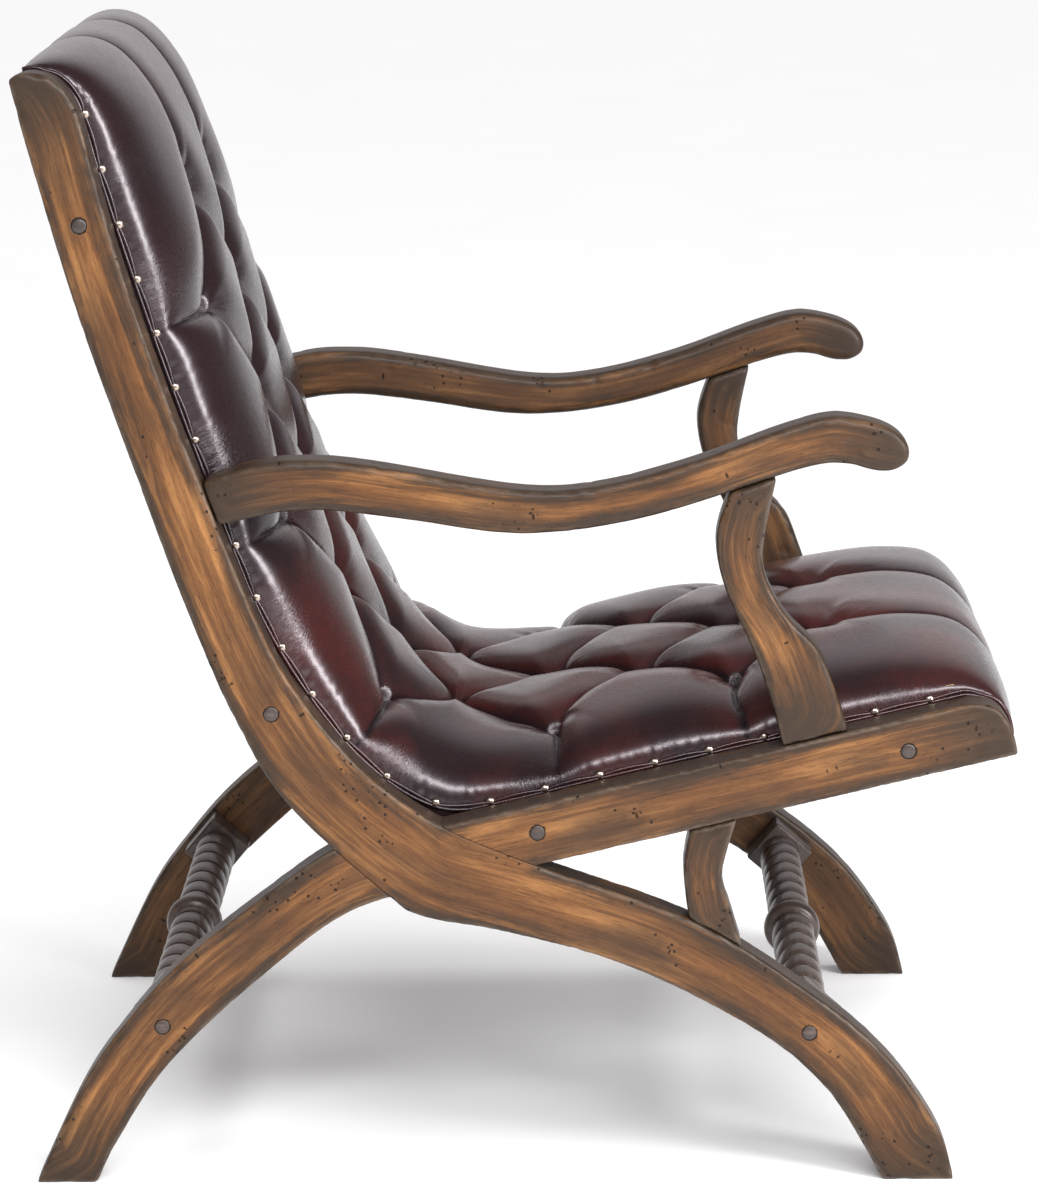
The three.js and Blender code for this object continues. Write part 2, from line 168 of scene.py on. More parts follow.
def points_of(mesh):
    flat = np.empty(len(mesh.vertices) * 3)
    mesh.vertices.foreach_get("co", flat)
    return flat.reshape(-1, 3)


def normals_of(mesh):
    flat = np.empty(len(mesh.vertices) * 3)
    mesh.vertex_normals.foreach_get("vector", flat)
    return flat.reshape(-1, 3)


def set_points(mesh, points):
    mesh.vertices.foreach_set("co", points.astype(np.float32).ravel())
    mesh.update()


def set_fields(mesh, **fields):
    """Stores what a material reads: a number or vector for each vertex, or one number for all."""
    for name, values in fields.items():
        values = np.asarray(values, np.float32)
        kind, key = ("FLOAT_VECTOR", "vector") if values.ndim == 2 else ("FLOAT", "value")
        if values.ndim == 0:
            values = np.full(len(mesh.vertices), values)
        mesh.attributes.new(name, kind, "POINT").data.foreach_set(key, values.ravel())


def bake(piece):
    """Applies the piece's modifiers."""
    graph = bpy.context.evaluated_depsgraph_get()
    graph.update()
    mesh = bpy.data.meshes.new_from_object(piece.evaluated_get(graph))
    piece.modifiers.clear()
    piece.data = mesh
    return piece


def remesh(piece, voxel):
    modifier = piece.modifiers.new("remesh", "REMESH")
    modifier.mode = "VOXEL"
    modifier.voxel_size = voxel
    return bake(piece)


def cut(piece, tool):
    """Takes the tool's shape out of the piece, and deletes the tool."""
    modifier = piece.modifiers.new("cut", "BOOLEAN")
    modifier.operation = "DIFFERENCE"
    modifier.solver = "MANIFOLD"
    modifier.object = tool
    bake(piece)
    bpy.data.objects.remove(tool)


def smooth(mesh, rounds, weight):
    """Moves each vertex halfway to the mean of its neighbours, as often as asked."""
    points = points_of(mesh)
    edges = np.empty(len(mesh.edges) * 2, int)
    mesh.edges.foreach_get("vertices", edges)
    ends = np.concatenate([edges.reshape(-1, 2), edges.reshape(-1, 2)[:, ::-1]])
    count = np.bincount(ends[:, 0], minlength=len(points))[:, None]
    share = 0.5 * np.broadcast_to(weight, len(points))[:, None]
    for _ in range(rounds):
        total = np.stack([
            np.bincount(ends[:, 0], points[ends[:, 1], axis], len(points))
            for axis in range(3)
        ], 1)
        points += share * (total / count - points)
    set_points(mesh, points)


def grid_faces(rows, columns, closed=False):
    """Quads of a grid of points stored row by row; a closed grid joins its last column to its first."""
    across = columns if closed else columns - 1
    return [
        (r * columns + c, r * columns + (c + 1) % columns,
         (r + 1) * columns + (c + 1) % columns, (r + 1) * columns + c)
        for r in range(rows - 1) for c in range(across)
    ]


def dress(piece, material):
    piece.data.materials.clear()
    piece.data.materials.append(material)


def present(piece, material, slot, *nodes):
    """Gives a modelled piece its material and its place on the chair."""
    piece.data.polygons.foreach_set("use_smooth", np.ones(len(piece.data.polygons), bool))
    dress(piece, material)
    return ride(piece, slot, *nodes)


def ride(piece, slot, *nodes):
    """Puts a finished piece on the chair's one body, in place of CAD nodes."""
    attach(piece, "root")
    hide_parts(*nodes)
    return piece


def noise_at(points, scale, seed=0.0):
    """Smooth noise from -1 to 1 at each point; scale is in cells for each metre, on each axis."""
    places = (points * np.array(scale) + seed).reshape(-1, 3)
    values = np.array([noise.noise(place) for place in places.tolist()])
    return values.reshape(points.shape[:-1])


# ---------------------------------------------------------------- outlines in the frame

def triangles(node):
    """The corners of a CAD node's triangles, as an array of n by 3 points."""
    mesh = NODES[node].data
    mesh.calc_loop_triangles()
    corners = np.empty(len(mesh.loop_triangles) * 3, int)
    mesh.loop_triangles.foreach_get("vertices", corners)
    return points_of(mesh)[corners].reshape(-1, 3, 3)


def edges_at(node, x):
    """The edges that a CAD node has in the plane at x, without those inside a flat face."""
    uses = {}
    for corners in triangles(node):
        keys = [tuple(np.round(corner, 5)) for corner in corners]
        there = [abs(corner[0] - x) < FLAT for corner in corners]
        for a, b in ((0, 1), (1, 2), (2, 0)):
            if there[a] and there[b]:
                edge = frozenset((keys[a], keys[b]))
                uses[edge] = uses.get(edge, 0) + all(there)
    return [tuple(edge) for edge, flat_faces in uses.items() if flat_faces < 2]


def outline_at(node, x):
    """The longest loop of a CAD node's edges in the plane at x, as [y, z] points."""
    links = {}
    for a, b in edges_at(node, x):
        links.setdefault(a, []).append(b)
        links.setdefault(b, []).append(a)
    loops = []
    unused = set(links)
    while unused:
        start = min((p for p in unused if len(links[p]) == 1), default=min(unused))
        loop = [start]
        unused.discard(start)
        onward = links[start]
        while any(p in unused for p in onward):
            loop.append(next(p for p in onward if p in unused))
            unused.discard(loop[-1])
            onward = links[loop[-1]]
        loops.append(np.array(loop)[:, 1:])
    return max(loops, key=lambda loop: lengths_along(loop)[-1])


def corners_of(loop, degrees):
    """The places in a closed loop where it turns more than a number of degrees."""
    onward = np.roll(loop, -1, 0) - loop
    heading = np.degrees(np.arctan2(onward[:, 1], onward[:, 0]))
    turn = (heading - np.roll(heading, 1) + 180) % 360 - 180
    return np.flatnonzero(np.abs(turn) > degrees)


def runs_between(loop, corners):
    """The loop as open runs of points from each corner to the next, both included."""
    ends = np.append(corners[1:], corners[0] + len(loop))
    around = np.concatenate([loop, loop])
    return [around[start:end + 1] for start, end in zip(corners, ends)]


def lengths_along(line):
    steps = np.linalg.norm(np.diff(line, axis=0), axis=1)
    return np.concatenate([[0], np.cumsum(steps)])


def resampled(line, lengths):
    """Points on an open polyline, rounded by a Catmull-Rom spline, at lengths from its start."""
    along = lengths_along(line)
    padded = np.concatenate([[2 * line[0] - line[1]], line, [2 * line[-1] - line[-2]]])
    slopes = (padded[2:] - padded[:-2]) / np.linalg.norm(
        np.diff(padded, axis=0)[1:] + np.diff(padded, axis=0)[:-1], axis=1)[:, None]
    index = np.clip(np.searchsorted(along, lengths, "right") - 1, 0, len(line) - 2)
    span = (along[index + 1] - along[index])[:, None]
    t = (np.asarray(lengths) - along[index])[:, None] / span
    return ((2 * t**3 - 3 * t**2 + 1) * line[index] + (t**3 - 2 * t**2 + t) * span * slopes[index]
            + (3 * t**2 - 2 * t**3) * line[index + 1] + (t**3 - t**2) * span * slopes[index + 1])


def evenly(line, step):
    total = lengths_along(line)[-1]
    count = max(2, round(total / step) + 1)
    return resampled(line, np.linspace(0, total, count))


def smooth_loop(loop):
    """A closed outline with short even steps, rounded between its corners."""
    runs = runs_between(loop, corners_of(loop, CORNER_DEGREES))
    return np.concatenate([evenly(run, OUTLINE_STEP)[:-1] for run in runs])


def inside(loop, points):
    """Whether each [y, z] point lies inside a closed loop."""
    crossings = np.zeros(len(points), int)
    y, z = points[:, 0], points[:, 1]
    for (y0, z0), (y1, z1) in zip(loop, np.roll(loop, -1, 0)):
        if z0 != z1:
            meets = (z0 > z) != (z1 > z)
            crossings += meets & (y < (y1 - y0) * (z - z0) / (z1 - z0) + y0)
    return crossings % 2 == 1


def nearest(line, points):
    """For each [y, z] point, the place of the nearest vertex of a line and the distance to it."""
    places, distances = [], []
    for part in np.array_split(points, max(1, len(points) // 4000)):
        gaps = np.linalg.norm(part[:, None] - line[None], axis=2)
        places.append(gaps.argmin(1))
        distances.append(gaps.min(1))
    return np.concatenate(places), np.concatenate(distances)


# ---------------------------------------------------------------- materials

class Nodes:
    """Builds a material's node tree. A value given for an input is a socket or a constant."""

    def __init__(self, name):
        self.material = bpy.data.materials.new(name)
        self.material.use_nodes = True
        self.tree = self.material.node_tree
        self.shader = self.tree.nodes["Principled BSDF"]

    def add(self, kind, inputs=None, **settings):
        node = self.tree.nodes.new(kind)
        for key, value in settings.items():
            setattr(node, key, value)
        self.fill(node, inputs or {})
        return node

    def fill(self, node, inputs):
        for key, value in inputs.items():
            if isinstance(value, bpy.types.NodeSocket):
                self.tree.links.new(value, node.inputs[key])
            else:
                node.inputs[key].default_value = value

    def field(self, name):
        """A number that the mesh stores."""
        return self.add("ShaderNodeAttribute", attribute_name=name).outputs["Fac"]

    def vector(self, name):
        return self.add("ShaderNodeAttribute", attribute_name=name).outputs["Vector"]

    def place(self):
        return self.add("ShaderNodeTexCoord").outputs["Object"]

    def scaled(self, vector, factors):
        node = self.add("ShaderNodeVectorMath", {0: vector, 1: factors}, operation="MULTIPLY")
        return node.outputs[0]

    def noise(self, vector, factors, detail, roughness, distortion=0.0):
        """Noise with a number of cells for each metre, on each axis."""
        node = self.add("ShaderNodeTexNoise", {
            "Vector": self.scaled(vector, factors), "Scale": 1.0, "Detail": detail,
            "Roughness": roughness, "Distortion": distortion,
        })
        return node.outputs[0]

    def cells(self, vector, factors, feature="F1"):
        inputs = {"Vector": self.scaled(vector, factors), "Scale": 1.0}
        return self.add("ShaderNodeTexVoronoi", inputs, feature=feature)

    def channel(self, cells, index):
        """One channel of the random colour that each cell has."""
        split = self.add("ShaderNodeSeparateColor", {0: cells.outputs["Color"]})
        return split.outputs[index]

    def math(self, operation, first, second=0.0):
        return self.add("ShaderNodeMath", {0: first, 1: second}, operation=operation).outputs[0]

    def plus(self, first, second):
        return self.math("ADD", first, second)

    def minus(self, first, second):
        return self.math("SUBTRACT", first, second)

    def times(self, first, second):
        return self.math("MULTIPLY", first, second)

    def larger(self, first, second):
        return self.math("MAXIMUM", first, second)

    def between(self, value, low, high, start=0.0, end=1.0):
        """The value eased from start, where it is low, to end, where it is high."""
        node = self.add("ShaderNodeMapRange", {
            "Value": value, "From Min": low, "From Max": high, "To Min": start, "To Max": end,
        }, interpolation_type="SMOOTHSTEP")
        return node.outputs[0]

    def mix(self, share, first, second):
        node = self.add("ShaderNodeMix", {0: share, 6: first, 7: second}, data_type="RGBA")
        return node.outputs[2]

    def ramp(self, value, stops):
        node = self.add("ShaderNodeValToRGB", {0: value})
        elements = node.color_ramp.elements
        while len(elements) < len(stops):
            elements.new(1.0)
        for element, (place, colour) in zip(elements, stops):
            element.position = place
            element.color = (*colour, 1.0)
        return node.outputs[0]

    def bump(self, height, distance, strength, normal=None):
        inputs = {"Height": height, "Distance": distance, "Strength": strength}
        if normal is not None:
            inputs["Normal"] = normal
        return self.add("ShaderNodeBump", inputs).outputs[0]

    def finish(self, **inputs):
        self.fill(self.shader, {key.replace("_", " "): value for key, value in inputs.items()})
        return self.material


def wood_marks(n, grain, wear):
    """Worm holes in clusters, and a few short nicks across the grain, from 0 to 1."""
    swarm = n.between(n.noise(grain, (13, 20, 20), 2, 0.5), 0.55, 0.68)
    dots = n.cells(grain, (180, 190, 120))
    chosen = n.math("LESS_THAN", n.channel(dots, 0), n.times(swarm, 0.85))
    hole = n.times(n.between(dots.outputs["Distance"], 0.16, 0.30, 1.0, 0.0), chosen)
    nicks = n.cells(grain, (95, 40, 40))
    rare = n.math("LESS_THAN", n.channel(nicks, 1), 0.13)
    nick = n.times(n.between(nicks.outputs["Distance"], 0.07, 0.15, 1.0, 0.0), rare)
    return n.times(n.larger(hole, nick), wear)


def wood_glaze(n, grain, tone, streaks, mottle):
    """How much dark glaze lies along the edges, at the ends and in clouds, and how much darker the
    inner faces are.
    """
    reach = n.times(n.minus(tone, 0.5), 0.055)
    reach = n.plus(n.field("arris"), reach)
    reach = n.plus(reach, n.times(n.minus(mottle, 0.5), 0.012))
    edge = n.between(reach, 0.000, 0.0185, 0.96, 0.0)
    far = n.times(n.minus(streaks, 0.5), 0.11)
    far = n.plus(n.field("tip"), far)
    end = n.between(far, 0.015, 0.140, 0.94, 0.0)
    shade = n.between(n.noise(grain, (5, 12, 12), 3, 0.6), 0.42, 0.68, 0.0, 0.68)
    # The inner faces are made darker.
    inner = n.times(n.field("inner"), 0.5)
    return n.larger(n.larger(edge, end), n.larger(shade, inner))


def wood_material(name, dark, middle, light, burnish, wear, gloss, coat):
    """Oiled and waxed walnut: streaks along the grain, glazed edges, arrises painted pale as rubbed
    wear and as a highlight, and marks.
    """
    n = Nodes(name)
    grain = n.vector("grain")
    streaks = n.noise(grain, (7, 130, 130), 8, 0.68, 0.4)
    clouds = n.noise(grain, (9, 26, 26), 3, 0.5)
    mottle = n.noise(grain, (60, 110, 110), 4, 0.6)
    tone = n.plus(n.times(streaks, 0.62), n.times(clouds, 0.38))
    colour = n.ramp(tone, [(0.34, dark), (0.50, middle), (0.67, light)])
    colour = n.mix(wood_glaze(n, grain, tone, streaks, mottle), colour, (*burnish, 1.0))

    # Pale strip along the arrises: partly rubbed wear, partly a painted highlight where they catch the
    # light.
    patchy = n.between(n.noise(grain, (24, 60, 60), 4, 0.7), 0.36, 0.62)
    rubbed = n.times(n.field("worn"), patchy)
    colour = n.mix(n.times(rubbed, 0.42), colour, (0.36, 0.27, 0.20, 1.0))
    # Near black in the stretchers' spiral grooves.
    colour = n.mix(n.field("dirt"), colour, (0.004, 0.003, 0.003, 1.0))
    pore = n.between(n.noise(grain, (110, 1500, 1500), 2, 0.5), 0.57, 0.70)
    colour = n.mix(n.times(pore, 0.5), colour, (*(0.35 * c for c in dark), 1.0))
    mark = wood_marks(n, grain, wear)
    colour = n.mix(n.times(mark, 0.9), colour, (0.012, 0.007, 0.005, 1.0))

    height = n.plus(n.times(streaks, 0.35), n.times(mottle, 0.15))
    height = n.minus(height, n.times(pore, 0.12))
    normal = n.bump(height, 0.0006, 0.5)
    normal = n.bump(n.minus(1.0, mark), 0.0012, 0.9, normal)
    shine = n.between(tone, 0.3, 0.7, 0.36, 0.48)
    shine = n.minus(shine, n.times(rubbed, 0.20))
    return n.finish(Base_Color=colour, Roughness=shine, Normal=normal,
                    Specular_IOR_Level=gloss, Coat_Weight=coat, Coat_Roughness=0.18)


def leather_material():
    """Waxed oxblood hide: redder where it is sat on, with painted shade that makes it nearly black in
    the folds, finely grained.
    """
    n = Nodes("oxblood_leather")
    place = n.place()
    fold = n.field("fold")
    stress = n.field("stress")

    patches = n.noise(place, (9, 9, 9), 3, 0.55)
    fine = n.noise(place, (160, 160, 160), 4, 0.6)
    up = n.add("ShaderNodeSeparateXYZ", {0: place}).outputs[2]
    sat_on = n.times(n.between(patches, 0.36, 0.68), n.between(up, 0.42, 0.66, 1.0, 0.10))
    rubbed = n.times(sat_on, n.between(fold, 0.10, 0.55, 1.0, 0.0))
    colour = n.mix(rubbed, (0.0120, 0.0058, 0.0068, 1.0), (0.0480, 0.0095, 0.0075, 1.0))
    colour = n.mix(n.between(fine, 0.35, 0.75, 0.0, 0.35), colour, (0.012, 0.006, 0.007, 1.0))
    # Painted shade: nearly black along the pleats and round the buttons.
    colour = n.mix(n.between(fold, 0.45, 1.0, 0.0, 0.85), colour, (0.006, 0.004, 0.004, 1.0))

    # Pebbled grain, deeper where the hide is gathered, with creases that run across the pull.
    pebbles = n.cells(place, (900, 900, 900), "SMOOTH_F1").outputs["Distance"]
    crinkle = n.noise(n.vector("pull"), (1, 1, 1), 3, 0.6, 0.6)
    crease = n.times(crinkle, stress)
    normal = n.bump(pebbles, 0.00025, 0.35)
    normal = n.bump(fine, 0.0006, 0.30, normal)
    normal = n.bump(crease, 0.0011, 0.8, normal)
    waxed = n.bump(crease, 0.0010, 0.55)
    shine = n.between(fine, 0.2, 0.8, 0.24, 0.34)
    wax = n.between(fold, 0.25, 0.85, 0.65, 0.0)
    return n.finish(Base_Color=colour, Roughness=shine, Normal=normal,
                    Specular_IOR_Level=0.36, Specular_Tint=(1.0, 0.84, 0.95, 1.0),
                    Coat_Weight=wax, Coat_Roughness=0.24, Coat_Normal=waxed)


def plain_material(name, colour, roughness, metallic=0.0, speckle=0.2, scale=400.0, depth=0.0002):
    """A hard material with fine uneven colour and surface."""
    n = Nodes(name)
    place = n.place()
    grain = n.noise(place, (scale, scale, scale), 4, 0.6)
    darker = tuple(c * (1 - speckle) for c in colour)
    tone = n.ramp(grain, [(0.3, darker), (0.7, colour)])
    rough = n.between(grain, 0.2, 0.8, roughness * 0.85, min(1.0, roughness * 1.15))
    return n.finish(Base_Color=tone, Roughness=rough, Metallic=metallic,
                    Normal=n.bump(grain, depth, 0.5))


def raw_wood_material(name, dark, light, lines):
    """Unfinished wood inside the chair, with its grain along the width."""
    n = Nodes(name)
    place = n.place()
    streaks = n.noise(place, (6, lines, lines), 6, 0.6, 0.3)
    colour = n.ramp(streaks, [(0.35, dark), (0.65, light)])
    return n.finish(Base_Color=colour, Roughness=n.between(streaks, 0.2, 0.8, 0.62, 0.8),
                    Normal=n.bump(streaks, 0.0005, 0.4))


def woven_material(name, colour, threads):
    """Plain-weave cloth, with threads for each metre."""
    n = Nodes(name)
    place = n.place()
    turns = n.scaled(place, (threads * math.tau,) * 3)
    axes = n.add("ShaderNodeSeparateXYZ", {0: turns}).outputs
    weave = n.times(n.math("SINE", axes[0]), n.math("SINE", axes[1]))
    fuzz = n.noise(place, (300, 300, 300), 3, 0.6)
    tone = n.plus(n.times(weave, 0.25), fuzz)
    paler = tuple(min(1.0, c * 2.2 + 0.01) for c in colour)
    return n.finish(Base_Color=n.ramp(tone, [(0.2, colour), (0.9, paler)]),
                    Roughness=n.between(fuzz, 0.2, 0.8, 0.85, 1.0), Normal=n.bump(weave, 0.0004, 0.6),
                    Sheen_Weight=0.2)


WALNUT = wood_material(
    "aged_walnut", dark=(0.048, 0.021, 0.010), middle=(0.132, 0.055, 0.019),
    light=(0.325, 0.150, 0.052), burnish=(0.030, 0.020, 0.014), wear=1.0, gloss=0.19, coat=0.04)
DARK_WALNUT = wood_material(
    "dark_walnut", dark=(0.045, 0.029, 0.024), middle=(0.085, 0.057, 0.047),
    light=(0.130, 0.090, 0.074), burnish=(0.030, 0.021, 0.018), wear=0.3, gloss=0.40, coat=0.20)
LEATHER = leather_material()
NAIL_METAL = plain_material("nail_bronze", (0.42, 0.34, 0.29), roughness=0.28, metallic=1.0)
STEEL = plain_material("screw_steel", (0.50, 0.50, 0.52), roughness=0.35, metallic=1.0)
RAW_WOOD = raw_wood_material("beech", (0.36, 0.22, 0.12), (0.56, 0.38, 0.22), lines=160)
PLYWOOD = raw_wood_material("plywood", (0.42, 0.28, 0.16), (0.62, 0.45, 0.27), lines=420)
FOAM = plain_material("foam", (0.78, 0.70, 0.48), roughness=0.95, speckle=0.25, scale=900.0,
                      depth=0.0004)
DUST_CLOTH = woven_material("dust_cloth", (0.012, 0.011, 0.011), threads=900)


# ---------------------------------------------------------------- sawn wood

def prism(name, loop, near, far):
    """A solid of a [y, z] outline between two x values."""
    count = len(loop)
    low, high = min(near, far), max(near, far)
    points = [(x, y, z) for x in (low, high) for y, z in loop]
    sides = [(i, (i + 1) % count, (i + 1) % count + count, i + count) for i in range(count)]
    caps = [tuple(range(count))[::-1], tuple(range(count, 2 * count))]
    piece = new_piece(name, points, sides + caps)
    area = np.sum(loop[:, 0] * np.roll(loop[:, 1], -1) - loop[:, 1] * np.roll(loop[:, 0], -1))
    if area < 0:
        piece.data.flip_normals()
    return piece


def centre_line(loop):
    """A line down the middle of a long outline, from one end to the other."""
    gaps = np.linalg.norm(loop[:, None] - loop[None], axis=2)
    first, last = sorted(np.unravel_index(gaps.argmax(), gaps.shape))
    one = loop[first:last + 1]
    other = np.concatenate([loop[last:], loop[:first + 1]])[::-1]
    shares = np.linspace(0, 1, 80)
    sides = [resampled(side, shares * lengths_along(side)[-1]) for side in (one, other)]
    return evenly((sides[0] + sides[1]) / 2, 0.004)


def grain_of(points, loop):
    """Along, across and through the board at each point, and the distance to the nearer end."""
    line = centre_line(loop)
    place, _ = nearest(line, points[:, 1:])
    heading = np.gradient(line, axis=0)
    heading /= np.linalg.norm(heading, axis=1)[:, None]
    offset = points[:, 1:] - line[place]
    ahead = np.sum(offset * heading[place], axis=1)
    across = offset[:, 0] * heading[place, 1] - offset[:, 1] * heading[place, 0]
    lengths = lengths_along(line)
    along = lengths[place] + ahead
    tip = np.minimum(along, lengths[-1] - along)
    return np.stack([along, across, points[:, 0]], 1), np.maximum(tip, 0)


def arris_distance(points, loop, faces, hidden=None):
    """How far each point is from the long edges, leaving out the stretches inside another outline."""
    from_face = np.min([np.abs(points[:, 0] - x) for x in faces], axis=0)
    return np.hypot(outline_distance(points, loop, hidden), from_face)


def outline_distance(points, loop, hidden=None):
    """How far each point is from an outline, leaving out the stretches inside another one."""
    edge = loop if hidden is None else loop[~inside(hidden, loop)]
    return nearest(edge, points[:, 1:])[1]


def wear_down(mesh, arris, seed):
    """Nibbles the arrises and dents the faces, as years of use have."""
    points = points_of(mesh)
    near = np.exp(-(arris / NIBBLE_WIDTH) ** 2)
    nibble = np.maximum(noise_at(points, (80, 80, 80), seed) - 0.12, 0) * near
    dent = np.maximum(noise_at(points, (55, 55, 55), seed + 9) - 0.42, 0) / 0.3
    ripple = noise_at(points, (14, 14, 14), seed + 31) * RIPPLE
    depth = nibble * 2 * NIBBLE_DEPTH + np.minimum(dent, 1) * DENT_DEPTH - ripple
    set_points(mesh, points - normals_of(mesh) * depth[:, None])


def middle_of(node):
    """The middle of a CAD node, as [y, z]."""
    low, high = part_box(node)
    return np.array([(low.y + high.y) / 2, (low.z + high.z) / 2])


def drill(piece, plug, side):
    """Sinks the hole for a plug into a board's outer face."""
    low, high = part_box(plug)
    middle = (low + high) / 2
    radius = (high.z - low.z) / 2 + PLUG_CLEARANCE
    angles = np.linspace(0, math.tau, 40, endpoint=False)
    ring = np.stack([middle.y + radius * np.cos(angles), middle.z + radius * np.sin(angles)], 1)
    face = max(abs(low.x), abs(high.x))
    cut(piece, prism("hole", ring, side * (face + BEYOND), side * (face - PLUG_HOLE_DEPTH)))


def board(label, kind, x_outline, other=None):
    """Replaces one sawn piece of a side frame by a softened and worn copy of its outline.

    other is the outline of the board that crosses it, and the x range that board fills there."""
    node = f"{label}_{kind}"
    side = SIDES[label]
    low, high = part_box(node)
    faces = (low.x, high.x)
    loop = smooth_loop(outline_at(node, x_outline))
    piece = remesh(prism(f"{node}_worn", loop, *faces), WOOD_VOXEL)
    crossed = None if other is None else other[0]
    points = points_of(piece.data)
    free = 1.0 if crossed is None else (~inside(crossed, points[:, 1:])).astype(float)
    smooth(piece.data, SOFTENED[kind], free)
    arris = arris_distance(points_of(piece.data), loop, faces, crossed)
    wear_down(piece.data, arris, 3.7 * len(kind) + side)
    if other is not None:
        cut(piece, prism("lap", crossed, *other[1]))
    finish_wood(piece, loop, crossed)
    return present(piece, WALNUT, "walnut", node)


def finish_wood(piece, loop, crossed):
    """Stores where the grain runs and how near each point is to an arris, an end or the inside."""
    points = points_of(piece.data)
    grain, tip = grain_of(points, loop)
    faces = (points[:, 0].min(), points[:, 0].max())
    inner = np.abs(points[:, 0]) < min(np.abs(faces)) + SKIN
    # The strip along the arrises that the finish paints pale, as wear and as a highlight.
    worn = np.exp(-(arris_distance(points, loop, faces, crossed) / RUB_AND_GLINT_WIDTH) ** 2)
    set_fields(piece.data, grain=grain, tip=tip, arris=outline_distance(points, loop, crossed),
               inner=inner, worn=worn)


def side_frame(label):
    side = SIDES[label]
    low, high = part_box(f"{label}_back_leg_board")
    outer, inner = (high.x, low.x) if side > 0 else (low.x, high.x)
    middle = (outer + inner) / 2
    back_loop = smooth_loop(outline_at(f"{label}_back_leg_board", outer))
    seat_loop = smooth_loop(outline_at(f"{label}_seat_leg_board", inner))
    beyond = BEYOND * side
    back = board(label, "back_leg_board", outer, (seat_loop, (inner - beyond, middle)))
    seat = board(label, "seat_leg_board", inner, (back_loop, (middle, outer + beyond)))
    arm_low, arm_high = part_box(f"{label}_arm")
    arm_face = (arm_high.x - ARM_ROUND) if side > 0 else (arm_low.x + ARM_ROUND)
    board(label, "arm", arm_face)
    for kind in ("arm_post", "seat_strut"):
        board(label, kind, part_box(f"{label}_{kind}")[0].x)
    for node in [n for n in NODES if n.startswith(label) and n.endswith("_plug")]:
        holder = back if inside(back_loop, middle_of(node)[None])[0] else seat
        drill(holder, node, side)
        plug(node, side)


# ---------------------------------------------------------------- turned pieces

def revolved(name, profile, segments):
    """A solid of revolution round +Z from [radius, height] points; radius 0 closes an end."""
    angles = np.linspace(0, math.tau, segments, endpoint=False)
    ring = np.stack([np.cos(angles), np.sin(angles)], 1)
    points = [(*(radius * direction), height) for radius, height in profile for direction in ring]
    faces = grid_faces(len(profile), segments, closed=True)
    faces.append(tuple(range(segments))[::-1])
    faces.append(tuple(range((len(profile) - 1) * segments, len(profile) * segments)))
    return new_piece(name, points, faces)


def dome_profile(radius, height, steps, foot):
    """[radius, height] points of a shallow dome over a short straight foot."""
    angles = np.linspace(0, math.pi / 2 * 0.97, steps)
    curve = [(radius * math.cos(a), foot + height * math.sin(a)) for a in angles]
    return [(radius, 0.0), *curve]


def aim(piece, place, direction):
    """Turns the piece's +Z to a direction, puts it in place, and leaves its mesh in the frame."""
    turn = Vector(direction).to_track_quat("Z", "Y").to_matrix().to_4x4()
    piece.data.transform(Matrix.Translation(Vector(place)) @ turn)


def plug(node, side):
    low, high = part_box(node)
    radius = (high.z - low.z) / 2
    length = high.x - low.x
    piece = revolved(f"{node}_turned", dome_profile(radius, PLUG_DOME, 6, length - PLUG_DOME), 36)
    face = low.x if side > 0 else high.x
    middle = middle_of(node)
    aim(piece, (face, *middle), (side, 0, 0))
    points = points_of(piece.data)
    from_rim = radius - np.linalg.norm(points[:, 1:] - middle, axis=1)
    set_fields(piece.data, grain=points[:, [1, 2, 0]], tip=PLAIN_TIP, arris=from_rim + 0.004)
    present(piece, DARK_WALNUT, "dark_walnut", node)


# ---------------------------------------------------------------- stretchers

def rod_radius(profile, x):
    """The turned radius at each distance from the middle."""
    along, radius = np.array(profile).T
    return np.interp(np.abs(x), along, radius)


def stretcher_profile(reach, rod, collar):
    """[distance from the middle, radius] of a stretcher's turned half, out to its end block."""
    curve = [(collar * COLLAR_HALF * math.sin(a), rod + (collar - rod) * math.cos(a) ** 0.6)
             for a in np.linspace(0, math.pi / 2, 7)]
    return [*curve, (reach, rod)]


def twisted_rod(name, reach, rod, collar, hand):
    """The turned part, round the x axis: collar in the middle and a spiral groove to each end."""
    x = np.arange(-reach, reach + RING_STEP / 2, RING_STEP)
    angles = np.linspace(0, math.tau, ROD_SEGMENTS, endpoint=False)
    radius = rod_radius(stretcher_profile(reach, rod, collar), x)[:, None]
    turns = (x[:, None] / TWIST_PITCH + hand * angles[None] / math.tau) % 1.0
    off = np.abs(turns - 0.5) * TWIST_PITCH
    plain = ((np.abs(x) > TWIST_START) & (np.abs(x) < reach - TWIST_STOP))[:, None]
    groove = GROOVE_DEPTH * np.exp(-(off / (GROOVE_WIDTH / 2)) ** 4)
    bulge = TWIST_BULGE * (1 - np.exp(-(off / (2 * GROOVE_WIDTH)) ** 2))
    radius = radius + plain * (bulge - groove)
    points = np.stack([
        np.broadcast_to(x[:, None], radius.shape),
        radius * np.cos(angles), radius * np.sin(angles),
    ], 2).reshape(-1, 3)
    faces = grid_faces(len(x), len(angles), closed=True)
    piece = new_piece(name, points, faces)
    # How far into the spiral groove each point lies; the finish darkens it to near black.
    in_groove = plain * np.exp(-(off / (0.7 * GROOVE_WIDTH)) ** 4)
    set_fields(piece.data, grain=points, tip=PLAIN_TIP, arris=PLAIN_ARRIS,
               dirt=in_groove.ravel())
    return piece


def radial_points(node, middle):
    """Each vertex of a turned node as [distance from the middle plane, radius]."""
    points = points_of(NODES[node].data)
    return np.stack([np.abs(points[:, 0]), np.linalg.norm(points[:, 1:] - middle, axis=1)], 1)


